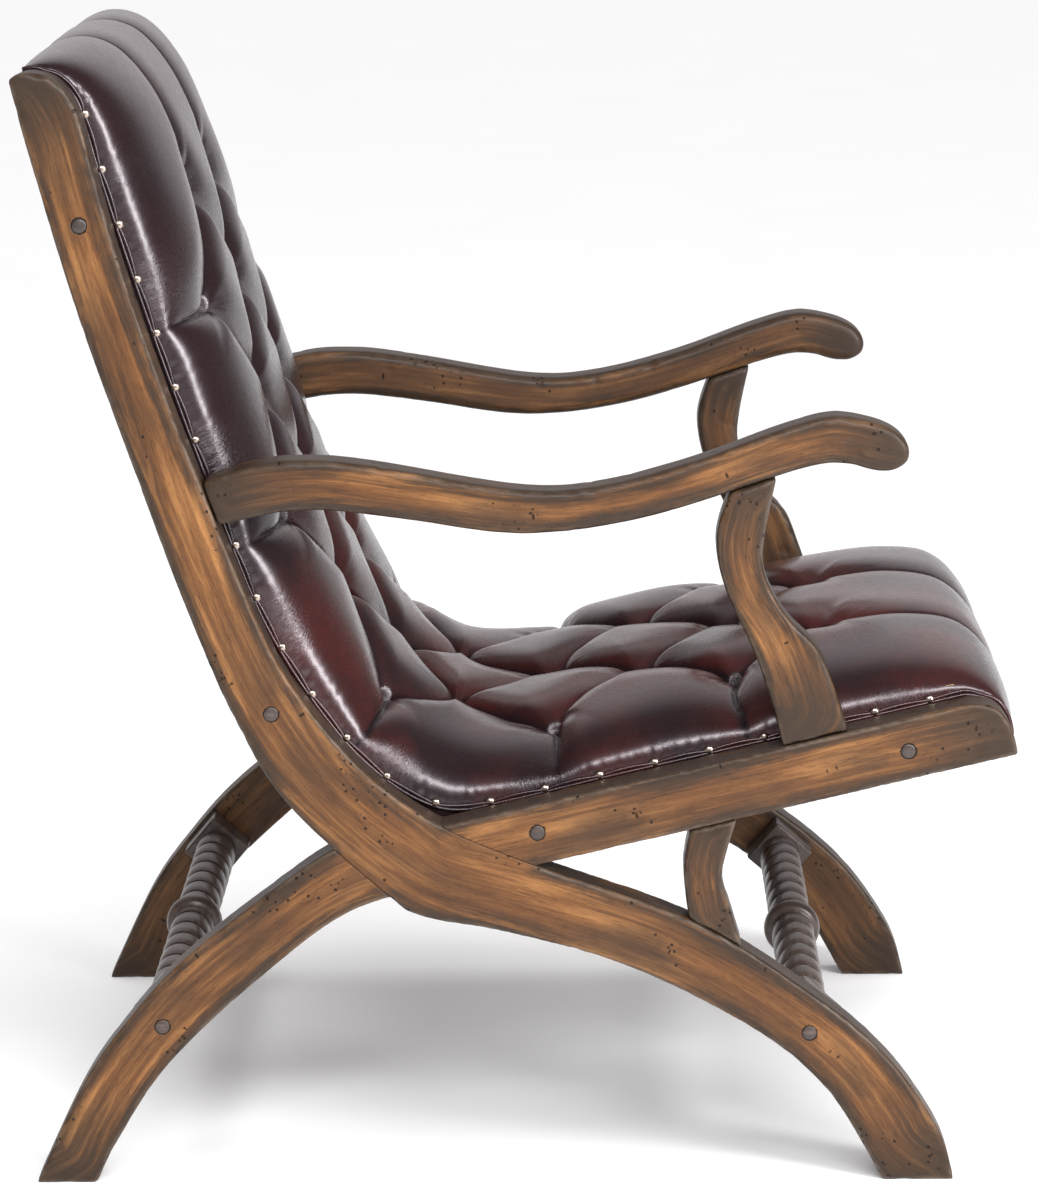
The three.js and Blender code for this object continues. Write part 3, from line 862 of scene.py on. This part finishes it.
def stretcher(node, hand):
    """Replaces a stretcher by its twisted rod and its two square end blocks."""
    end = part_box(node)[1].x
    middle = middle_of(node)
    spots = radial_points(node, middle)
    collar = spots[spots[:, 0] < FLAT, 1].max()
    block_start = spots[spots[:, 1] > 1.1 * collar, 0].min()
    rod = spots[(spots[:, 0] < block_start - FLAT) & (spots[:, 1] > collar / 2), 1].min()
    turned = twisted_rod(f"{node}_twist", block_start + ROD_OVERLAP, rod, collar, hand)
    set_points(turned.data, points_of(turned.data) + (0, *middle))
    present(turned, DARK_WALNUT, "dark_walnut", node)
    square = outline_at(node, end)
    for label, side in SIDES.items():
        block = prism(f"{label}_{node}_block", square, side * block_start, side * end)
        end_block(block, square)


def end_block(block, square):
    """Softens a stretcher's end block and gives it its grain."""
    bevel = block.modifiers.new("bevel", "BEVEL")
    bevel.width = BLOCK_BEVEL
    bevel.segments = 4
    bake(block)
    points = points_of(block.data)
    faces = (points[:, 0].min(), points[:, 0].max())
    edge = np.concatenate([np.linspace(a, b, 20) for a, b in zip(square, np.roll(square, 1, 0))])
    set_fields(block.data, grain=points, tip=PLAIN_TIP,
               arris=0.006 + arris_distance(points, edge, faces))
    present(block, DARK_WALNUT, "dark_walnut")


# ---------------------------------------------------------------- upholstered panel

def headings_of(line):
    steps = np.gradient(line, axis=0)
    return steps / np.linalg.norm(steps, axis=1)[:, None]


def towards_sitter(line):
    """The direction square to a line that runs from the head to the nose, on the sitter's side."""
    heading = headings_of(line)
    return np.stack([heading[:, 1], -heading[:, 0]], 1)


def long_runs(node, x, count):
    """The longest runs of an outline between its sharp corners, each from the head to the nose."""
    loop = outline_at(node, x)
    runs = runs_between(loop, corners_of(loop, SQUARE_CORNER))
    runs.sort(key=lambda run: -lengths_along(run)[-1])
    return [run if run[0, 0] > run[-1, 0] else run[::-1] for run in runs[:count]]


def nail_line():
    """The line at the side of the panel where the leather is nailed down."""
    runs = long_runs("right_panel_rail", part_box("right_panel_rail")[0].x, 2)
    back = evenly(max(runs, key=lambda run: run[len(run) // 2, 0]), PANEL_STEP)
    return back + NAIL_LIFT * towards_sitter(back)


def led_round(line, run):
    """The run's points before it comes to lie along a line, and the place in the line where it does."""
    places, gaps = nearest(line, run)
    first = np.argmax(gaps < SIDE_BY_SIDE)
    return run[CORNER_ROWS:first], places[first]


def board_run(node, x, place):
    """The long run of a board's outline that passes nearest to a place."""
    runs = long_runs(node, x, 4)
    return evenly(min(runs, key=lambda run: nearest(evenly(run, 0.01), place[None])[1][0]), PANEL_STEP)


def edge_line():
    """The nail line, carried on round the ends of the side boards, and the length at each point.

    The length runs from the head to the nose and is 0 at the top of the nail line."""
    line = nail_line()
    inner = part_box("right_back_leg_board")[1].x
    back = board_run("right_back_leg_board", inner, line[len(line) // 4])
    seat = board_run("right_seat_leg_board", inner, line[-len(line) // 8])
    head, start = led_round(line, back)
    nose, end = led_round(line[::-1], seat[::-1])
    whole = np.concatenate([head, line[start:len(line) - end], nose[::-1]])
    padded = np.pad(whole, ((3, 3), (0, 0)), "edge")
    eased = np.stack([np.convolve(padded[:, axis], np.full(7, 1 / 7), "valid") for axis in (0, 1)], 1)
    lengths = lengths_along(eased)
    return eased, lengths - lengths[len(head)] + lengths_along(line)[start]


def cast(points, headings, line):
    """Where the ray from each point first meets a line."""
    start, step = line[:-1][None], np.diff(line, axis=0)[None]
    heading, gap = headings[:, None], start - points[:, None]
    turn = heading[..., 0] * step[..., 1] - heading[..., 1] * step[..., 0]
    reach = (gap[..., 0] * step[..., 1] - gap[..., 1] * step[..., 0]) / turn
    share = (gap[..., 0] * heading[..., 1] - gap[..., 1] * heading[..., 0]) / turn
    reach[(share < 0) | (share > 1) | (reach <= 0)] = np.inf
    first = reach.min(1)
    first[np.isinf(first)] = 0
    return points + headings * first[:, None]


def spread(points, line):
    """Evens out points along a line, so that none crosses its neighbour where the line bends."""
    lengths = lengths_along(line)[nearest(line, points)[0]]
    window = np.hanning(2 * BEND_ROWS + 1)
    ends = np.arange(1, BEND_ROWS + 1) * (lengths[-1] - lengths[0]) / len(lengths)
    padded = np.concatenate([lengths[0] - ends[::-1], lengths, lengths[-1] + ends])
    eased = np.convolve(padded, window / window.sum(), "valid")
    return resampled(line, np.clip(eased, lengths[0], lengths[-1]))


def end_rows(crown, meets, edge_end, from_head):
    """Matched edge and crown rows from a hem, over the head or the nose, to the nail line's end."""
    place, _ = nearest(crown, meets[None])
    part = crown[:place[0] + 1] if from_head else crown[place[0]:]
    shares = (lengths_along(part) / lengths_along(part)[-1])[:, None]
    first, last = (part[0], edge_end) if from_head else (edge_end, part[-1])
    straight = first + shares * (last - first)
    return straight + END_FULLNESS * np.sin(math.pi * shares) * (part - straight), part


def panel_rows():
    """(edge, crown, length) of every row across the panel, from the hem behind the head.

    The length runs along the panel and is 0 at the top of the nail line."""
    edge, edge_lengths = edge_line()
    crown_run = long_runs("leather_cover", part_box("leather_cover")[0].x, 1)[0]
    crown = evenly(crown_run, PANEL_STEP)
    above = spread(cast(edge, towards_sitter(edge), crown), crown)
    head_edge, head_crown = end_rows(crown, above[0], edge[0], True)
    nose_edge, nose_crown = end_rows(crown, above[-1], edge[-1], False)
    lengths = np.concatenate([
        edge_lengths[0] + lengths_along(head_crown)[:-1] - lengths_along(head_crown)[-1],
        edge_lengths,
        edge_lengths[-1] + lengths_along(nose_crown)[1:],
    ])
    return (np.concatenate([head_edge[:-1], edge, nose_edge[1:]]),
            np.concatenate([head_crown[:-1], above, nose_crown[1:]]), lengths)


def button_rows():
    """[length, columns] of each row of buttons: pairs and threes by turns."""
    rows = []
    place = FIRST_ROW
    for row in range(BACK_ROWS + SEAT_ROWS):
        columns = (-1, 1) if row % 2 == 0 else (-2, 0, 2)
        rows.append((place, [BUTTON_COLUMN * c for c in columns]))
        place += BACK_PITCH if row < BACK_ROWS - 1 else SEAT_PITCH
    return rows


def pleats(rows, start, end, half):
    """Every pleat as (from, to, share of the full depth at each end), points as [length, x]."""
    found = []
    for (here, columns), (there, onward) in zip(rows, rows[1:]):
        for x in columns:
            found += [((here, x), (there, u), 1.0, 1.0) for u in onward
                      if abs(u - x) < 1.1 * BUTTON_COLUMN]
    for place, columns in rows:
        if len(columns) == 3:
            found += [((place, x), (place, math.copysign(half, x)), 1.0, 0.75)
                      for x in columns if x]
    for x in rows[0][1]:
        found.append(((rows[0][0], x), (start, x), 1.0, 0.0))
    for x in rows[-1][1]:
        found.append(((rows[-1][0], x), (end, x), 1.0, 0.0))
    return found


def tufting(length, x, rows, half):
    """How far the leather is drawn in at each point, how near a pleat it is, and how near a button.

    Each pleat is deepest at its buttons. The pillows between pleats curve over to meet in them."""
    total = np.zeros_like(x)
    near_pleat = np.full_like(x, np.inf)
    reach = np.linalg.norm(nearest_button(length, x, rows), axis=-1)
    length, x = swayed(length, x, reach)
    for (s0, x0), (s1, x1), deep0, deep1 in pleats(rows, length.min(), length.max(), half):
        span = np.hypot(s1 - s0, x1 - x0)
        share = ((length - s0) * (s1 - s0) + (x - x0) * (x1 - x0)) / span ** 2
        share = np.clip(share, 0, 1)
        gap = np.hypot(length - s0 - share * (s1 - s0), x - x0 - share * (x1 - x0))
        below = ((length - s0) * (x1 - x0) - (x - x0) * (s1 - s0)) / span * np.sign(x1 - x0)
        leaned = gap * (1 + PLEAT_LEAN * np.tanh(below / LEAN_WIDTH))
        fall = span / BUTTON_FALL
        ends = deep0 * (1 - share) ** fall + deep1 * share ** fall
        rest = 1 - (1 - min(deep0, deep1)) * share
        depth = (BUTTON_DEPTH - PLEAT_DEPTH) * ends + PLEAT_DEPTH * rest
        wall = np.maximum(1 - leaned / PLEAT_REACH, 0) ** PILLOW_FULLNESS
        crease = CREASE_DEPTH * np.exp(-gap / CREASE_WIDTH)
        total += (depth * wall + crease * rest) ** MEETING
        near_pleat = np.minimum(near_pleat, gap)
    depth = total ** (1 / MEETING)
    seat = np.clip((1.7 * BUTTON_RADIUS - reach) / (0.7 * BUTTON_RADIUS), 0, 1)
    seat = seat * seat * (3 - 2 * seat)
    return depth + seat * (BUTTON_DEPTH + CREASE_DEPTH - depth), near_pleat


def swayed(length, x, reach):
    """The same places, shifted a little between the buttons, so that no pleat is quite straight."""
    loose = PLEAT_SWAY * (1 - np.exp(-(reach / 0.030) ** 2))
    places = np.stack([length, x, np.zeros_like(x)], -1)
    shifts = [noise_at(places, (14, 14, 14), seed) for seed in (1.0, 50.0)]
    return length + shifts[0] * loose, x + shifts[1] * loose


def nearest_button(length, x, rows):
    """The offset from each point to its nearest button, as [along, across]."""
    best = np.full((*x.shape, 2), np.inf)
    for place, columns in rows:
        for column in columns:
            gap = np.stack([length - place, x - column], -1)
            closer = np.linalg.norm(gap, axis=-1) < np.linalg.norm(best, axis=-1)
            best[closer] = gap[closer]
    return best


def laid_out(x, section):
    """A grid of points from the x of each column and the [y, z] of each point."""
    return np.concatenate([np.broadcast_to(x[None, :, None], (*section.shape[:2], 1)), section], 2)


def grid_normals(grid):
    """The outward direction at each point of a grid of rows by columns."""
    down, across = np.gradient(grid, axis=0), np.gradient(grid, axis=1)
    square = np.cross(down, across)
    return square / np.maximum(np.linalg.norm(square, axis=2), 1e-9)[..., None]


def crown_share(x, half):
    """The height of the cross-section at each x, from 0 at the nailed edges to 1 in the middle."""
    return (1 - np.minimum(np.abs(x) / half, 1) ** 4) ** (1 / 2.3)


def blank_panel(half, columns):
    """The panel's surface before it is buttoned: points as rows by columns, and each row's length."""
    edge, crown, length = panel_rows()
    x = half * np.sin(np.linspace(-math.pi / 2, math.pi / 2, columns))
    share = crown_share(x, half)[None, :, None]
    section = edge[:, None] + (crown - edge)[:, None] * share
    return laid_out(x, section), length


def gathers(offset, edge_gap, length, coarse):
    """Noise coordinates that give folds out from the buttons and in from the nailed edge.

    With them comes each point's distance to its nearest button."""
    reach = np.linalg.norm(offset, axis=-1)
    direction = offset / np.maximum(reach, 1e-6)[..., None]
    rays = np.stack([direction[..., 0] * coarse, direction[..., 1] * coarse, reach * 14], -1)
    comb = np.stack([(length + 0.4 * edge_gap) * 70 * coarse, edge_gap * 40 * coarse, reach * 0], -1)
    return rays, comb, reach


def buttoned_panel(half, columns):
    """The leather's outer surface, its [length, x] coordinates, and what its finish reads."""
    grid, row_length = blank_panel(half, columns)
    rows = button_rows()
    x = grid[..., 0]
    length = np.broadcast_to(row_length[:, None], x.shape)
    depth, near_pleat = tufting(length, x, rows, half)
    held = 1 - (np.abs(x) / half) ** 12
    normal = grid_normals(grid)
    offset = nearest_button(length, x, rows)
    edge_gap = half - np.abs(x)
    rays, comb, reach = gathers(offset, edge_gap, length, 2.3)
    by_button = GATHER_HEIGHT * np.exp(-((reach - GATHER_RADIUS) / GATHER_WIDTH) ** 2)
    by_edge = EDGE_GATHER_HEIGHT * np.exp(-edge_gap / EDGE_GATHER_WIDTH)
    folds = noise_at(rays, (1, 1, 1)) * by_button + noise_at(comb, (1, 1, 1)) * by_edge
    swell = noise_at(grid, (11, 11, 11), 5.0) * SWELL
    grid = grid - normal * (depth * held + folds + swell * held)[..., None]
    return tucked([grid, length, offset, near_pleat, edge_gap])


def tucked(layers):
    """The same layers with one more column at each side, which runs down behind the side board."""
    wider = [np.concatenate([layer[:, :1], layer, layer[:, -1:]], 1) for layer in layers]
    grid = wider[0]
    down = -towards_sitter(grid[:, 1, 1:]) * EDGE_TUCK
    grid[:, 0, 1:] += down
    grid[:, -1, 1:] += down
    return wider


def leather_fields(mesh, length, offset, near_pleat, edge_gap):
    """Stores how near a pleat or a button each point is, which the finish paints as shade, how strained
    the hide is there, and the way that it creases.
    """
    rays, comb, reach = gathers(offset, edge_gap, length, 9.0)
    patches = noise_at(np.stack([length, edge_gap, reach * 0], -1), (13, 13, 13), 3.0)
    patchy = np.clip(0.15 + 2.2 * patches, 0.05, 1)
    by_button = np.exp(-(reach / BUTTON_STRAIN) ** 2) * (0.4 + 0.6 * patchy)
    by_edge = np.exp(-edge_gap / EDGE_STRAIN) * patchy
    radial = (by_button > by_edge)[..., None]
    # Nearness to a pleat or a button, painted as shade by the leather's finish.
    fold = np.maximum(np.exp(-near_pleat / PLEAT_SHADE), np.exp(-(reach / BUTTON_SHADE) ** 2))
    stress = np.maximum(np.maximum(by_button, by_edge), 0.25 * np.exp(-near_pleat / PLEAT_STRAIN))
    set_fields(mesh, fold=fold.ravel(), stress=stress.ravel(),
               pull=np.where(radial, rays, comb).reshape(-1, 3))


def upholstery():
    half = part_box("leather_cover")[1].x
    grid, *fields = buttoned_panel(half, PANEL_COLUMNS)
    leather = new_piece("buttoned_leather", grid.reshape(-1, 3), grid_faces(*grid.shape[:2]))
    leather_fields(leather.data, *fields)
    present(leather, LEATHER, "leather", "leather_cover", "foam_pad")
    buttons(grid, fields[0])
    for label, side in SIDES.items():
        trimmed_rail(label)
        nails(label, side * half)
        edge_cords(label, side * half)


def trimmed_rail(label):
    """A copy of a panel rail with its end corners taken off, so that they stay under the leather."""
    node = f"{label}_panel_rail"
    rail = bpy.data.objects.new(f"{node}_trimmed", NODES[node].data.copy())
    bpy.context.scene.collection.objects.link(rail)
    points = points_of(rail.data)
    line, _ = edge_line()
    place, _ = nearest(line, points[:, 1:])
    out = towards_sitter(line)[place]
    height = np.sum((points[:, 1:] - line[place]) * out, axis=1) + RAIL_TRIM
    at_end = (place < RAIL_END_ROWS) | (place > len(line) - RAIL_END_ROWS)
    points[:, 1:] -= out * (np.maximum(height, 0) * at_end)[:, None]
    set_points(rail.data, points)
    dress(rail, RAW_WOOD)
    ride(rail, "hardwood", node)


def buttons(grid, length):
    """A covered button at the bottom of every tuft."""
    normal = grid_normals(grid)
    profile = dome_profile(BUTTON_RADIUS, BUTTON_HEIGHT, 9, BUTTON_FOOT)
    for row, (place, columns) in enumerate(button_rows(), 1):
        r = np.abs(length[:, 0] - place).argmin()
        for column in columns:
            c = np.abs(grid[r, :, 0] - column).argmin()
            button = revolved(f"button_{row}_{round(column * 1000) + 500}", profile, 40)
            aim(button, grid[r, c] - normal[r, c] * BUTTON_SUNK, normal[r, c])
            # Painted shade: each button is coloured as if wholly in a fold, nearly black.
            set_fields(button.data, fold=1.0, stress=0.1, pull=points_of(button.data) * 400)
            present(button, LEATHER, "leather")


def nail_places():
    """[length, y, z] of each upholstery nail, down one side."""
    line = nail_line()
    total = lengths_along(line)[-1]
    lengths = np.arange(NAIL_FIRST, total - NAIL_PITCH / 4, NAIL_PITCH)
    return np.concatenate([lengths[:, None], resampled(line, lengths)], 1)


def nails(label, x):
    """One row of dome-headed nails, as a single piece."""
    head = revolved("head", dome_profile(NAIL_RADIUS, NAIL_HEIGHT, 8, NAIL_FOOT), 28)
    points, faces = points_of(head.data), [tuple(p.vertices) for p in head.data.polygons]
    bpy.data.objects.remove(head)
    turn = np.array(Vector((x, 0, 0)).to_track_quat("Z", "Y").to_matrix())
    all_points, all_faces = [], []
    for count, (_, y, z) in enumerate(nail_places()):
        lean = noise_at(np.array([[y, z, x]]), (40, 40, 40))[0] * NAIL_STRAY
        all_points.append(points @ turn.T + (x, y + lean, z - lean))
        all_faces += [tuple(v + count * len(points) for v in face) for face in faces]
    row = new_piece(f"{label}_nails", np.concatenate(all_points), all_faces)
    present(row, NAIL_METAL, "nail")


def tube(name, x, line, radius):
    """A cord round a [y, z] line at one x."""
    out = towards_sitter(line)
    angles = np.linspace(0, math.tau, 14, endpoint=False)
    rings = line[:, None] + radius * np.sin(angles)[None, :, None] * out[:, None]
    across = np.broadcast_to(x + radius * np.cos(angles), rings.shape[:2])
    points = np.concatenate([across[..., None], rings], 2).reshape(-1, 3)
    cord = new_piece(name, points, grid_faces(len(line), len(angles), closed=True))
    present(cord, LEATHER, "leather")


def edge_cords(label, x):
    """A straight cord along the board, and one above it that bulges between the nails."""
    line, lengths = edge_line()
    out = towards_sitter(line)
    between = np.clip((lengths - NAIL_FIRST) / NAIL_PITCH, -1.5, None) % 1.0
    bulge = CORD_LIFT + SCALLOP * np.sin(math.pi * between) ** 0.8
    side = math.copysign(1, x)
    for kind, (sideways, up), rise in (("lower", LOWER_CORD, np.zeros_like(bulge)),
                                       ("upper", UPPER_CORD, bulge)):
        place = line + out * (rise + up)[:, None]
        tube(f"{label}_{kind}_cord", x + side * sideways, place, CORD_RADIUS)


def sheet_line(node, x):
    """The side of a thin cover's outline that faces away from the sitter."""
    runs = long_runs(node, x, 2)
    out = -towards_sitter(evenly(runs[0], SHEET_STEP))
    facing = out[len(out) // 2]
    start = runs[0][len(runs[0]) // 2]
    outer = max(runs, key=lambda run: np.sum((run[len(run) // 2] - start) * facing))
    return evenly(outer, SHEET_STEP)


def sheet_grid(line, low, high, puff, wrinkle):
    """A sheet along a line and between two x values, lifted and creased away from its held edges."""
    x = np.linspace(low, high, round((high - low) / SHEET_STEP))
    across = 1 - np.abs(2 * (x - low) / (high - low) - 1) ** 6
    along = 1 - np.abs(np.linspace(-1, 1, len(line))) ** 8
    section = np.broadcast_to(line[:, None], (len(line), len(x), 2))
    grid = laid_out(x, section)
    creases = noise_at(grid, (7, 16, 16), 4.0) * wrinkle
    lift = along[:, None] * across[None] * (puff + creases)
    grid[..., 1:] -= towards_sitter(line)[:, None] * lift[..., None]
    return grid


def closing_sheet(node, material, slot, puff, wrinkle):
    """Replaces a thin cover under or behind the panel by a soft sheet with its edges held."""
    low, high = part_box(node)
    line = sheet_line(node, low.x)
    grid = sheet_grid(line, low.x, high.x, puff, wrinkle)
    sheet = new_piece(f"{node}_soft", grid.reshape(-1, 3), grid_faces(*grid.shape[:2]))
    sheet.modifiers.new("thickness", "SOLIDIFY").thickness = SHEET_THICKNESS
    bake(sheet)
    set_fields(sheet.data, fold=0.0, stress=0.12, pull=points_of(sheet.data) * 60)
    present(sheet, material, slot, node)
    return sheet, lengths_along(line)[-1], high.x - low.x


def close_panel():
    """The leather behind the back and the cloth under the seat, each stretched over its rails."""
    cover, length, width = closing_sheet("outside_back_cover", LEATHER, "leather",
                                         puff=0.0025, wrinkle=0.0016)
    cloth, length, width = closing_sheet("seat_dust_cover", DUST_CLOTH, "dust_cloth",
                                         puff=0.004, wrinkle=0.0020)


def finish_for(node):
    """The finish of a part inside the chair, by the end of its name."""
    finishes = {"_screw": STEEL, "_deck": PLYWOOD, "_pad": FOAM, "_cover": LEATHER}
    return next((finish for ending, finish in finishes.items() if node.endswith(ending)), RAW_WOOD)


# ---------------------------------------------------------------- stage

def stage_floor():
    n = Nodes("floor")
    place = n.place()
    tone = n.noise(place, (3, 3, 3), 2, 0.5)
    colour = n.ramp(tone, [(0.3, (0.93, 0.93, 0.935)), (0.7, (0.95, 0.95, 0.955))])
    material = n.finish(Base_Color=colour, Roughness=0.9, Emission_Color=(1.0, 1.0, 1.0, 1.0),
                        Emission_Strength=0.14)
    corners = [(x * FLOOR_HALF, y * FLOOR_HALF, 0) for x, y in ((-1, -1), (1, -1), (1, 1), (-1, 1))]
    floor = new_piece("floor", corners, [(0, 1, 2, 3)])
    dress(floor, material)


def add_light(name, light, direction):
    thing = bpy.data.objects.new(name, light)
    thing.rotation_euler = Vector(direction).to_track_quat("-Z", "Y").to_euler()
    bpy.context.scene.collection.objects.link(thing)
    return thing


def area_light(name, place, target, size, power):
    light = bpy.data.lights.new(name, "AREA")
    light.shape = "RECTANGLE"
    light.size, light.size_y = size
    light.energy = power
    add_light(name, light, Vector(target) - Vector(place)).location = place


def sky_light(name, direction, strength, spread):
    """A broad soft light from above that gives no mirrored glow."""
    light = bpy.data.lights.new(name, "SUN")
    light.energy = strength
    light.angle = math.radians(spread)
    add_light(name, light, direction).visible_glossy = False


def surroundings(dim, bright):
    """A studio that is brightest low down on the chair's left, and dim elsewhere."""
    world = bpy.data.worlds.new("studio")
    world.use_nodes = True
    tree = world.node_tree
    background = tree.nodes["Background"]
    background.inputs["Color"].default_value = SKY_TINT
    place = tree.nodes.new("ShaderNodeTexCoord")
    towards = tree.nodes.new("ShaderNodeVectorMath")
    towards.operation = "DOT_PRODUCT"
    towards.inputs[1].default_value = BRIGHT_SKY
    strength = tree.nodes.new("ShaderNodeMapRange")
    strength.interpolation_type = "SMOOTHSTEP"
    limits = {"From Min": SKY_FADE[0], "From Max": SKY_FADE[1], "To Min": dim, "To Max": bright}
    for key, value in limits.items():
        strength.inputs[key].default_value = value
    tree.links.new(place.outputs["Generated"], towards.inputs[0])
    tree.links.new(towards.outputs["Value"], strength.inputs["Value"])
    tree.links.new(strength.outputs[0], background.inputs["Strength"])
    bpy.context.scene.world = world


def photograph_camera():
    """The camera at the photograph's place: beside the chair and above it, looking a little down."""
    yaw, pitch, roll = (math.radians(degrees) for degrees in CAMERA_DEGREES)
    ahead = Vector((math.cos(pitch) * math.cos(yaw), math.cos(pitch) * math.sin(yaw), math.sin(pitch)))
    right = Vector((math.sin(yaw), -math.cos(yaw), 0.0))
    up = right.cross(ahead)
    tilted_right = right * math.cos(roll) + up * math.sin(roll)
    tilted_up = up * math.cos(roll) - right * math.sin(roll)
    camera = bpy.data.cameras.new("camera")
    camera.sensor_width = 36.0
    camera.sensor_fit = "HORIZONTAL"
    camera.lens = CAMERA_LENS
    camera.clip_end = 100.0
    thing = bpy.data.objects.new("camera", camera)
    axes = Matrix((tilted_right, tilted_up, -ahead)).transposed().to_4x4()
    thing.matrix_world = Matrix.Translation(CAMERA_PLACE) @ axes
    bpy.context.scene.collection.objects.link(thing)
    bpy.context.scene.camera = thing


for name in SIDES:
    side_frame(name)
upholstery()
stretcher("rear_stretcher", 1)
stretcher("front_stretcher", -1)
close_panel()
for name, node in NODES.items():
    dress(node, finish_for(name))

stage_floor()
surroundings(dim=0.13, bright=0.72)
sky_light("overhead", direction=(0.12, 0.1, -1.0), strength=2.25, spread=52)
area_light("front", place=(-2.4, -2.6, 1.8), target=(0, 0, 0.5), size=(0.8, 1.8), power=125)
area_light("beside", place=(-3.1, -0.5, 2.3), target=(0, 0, 0.4), size=(2.4, 0.55), power=98)
photograph_camera()
bpy.context.scene.view_settings.view_transform = "Standard"
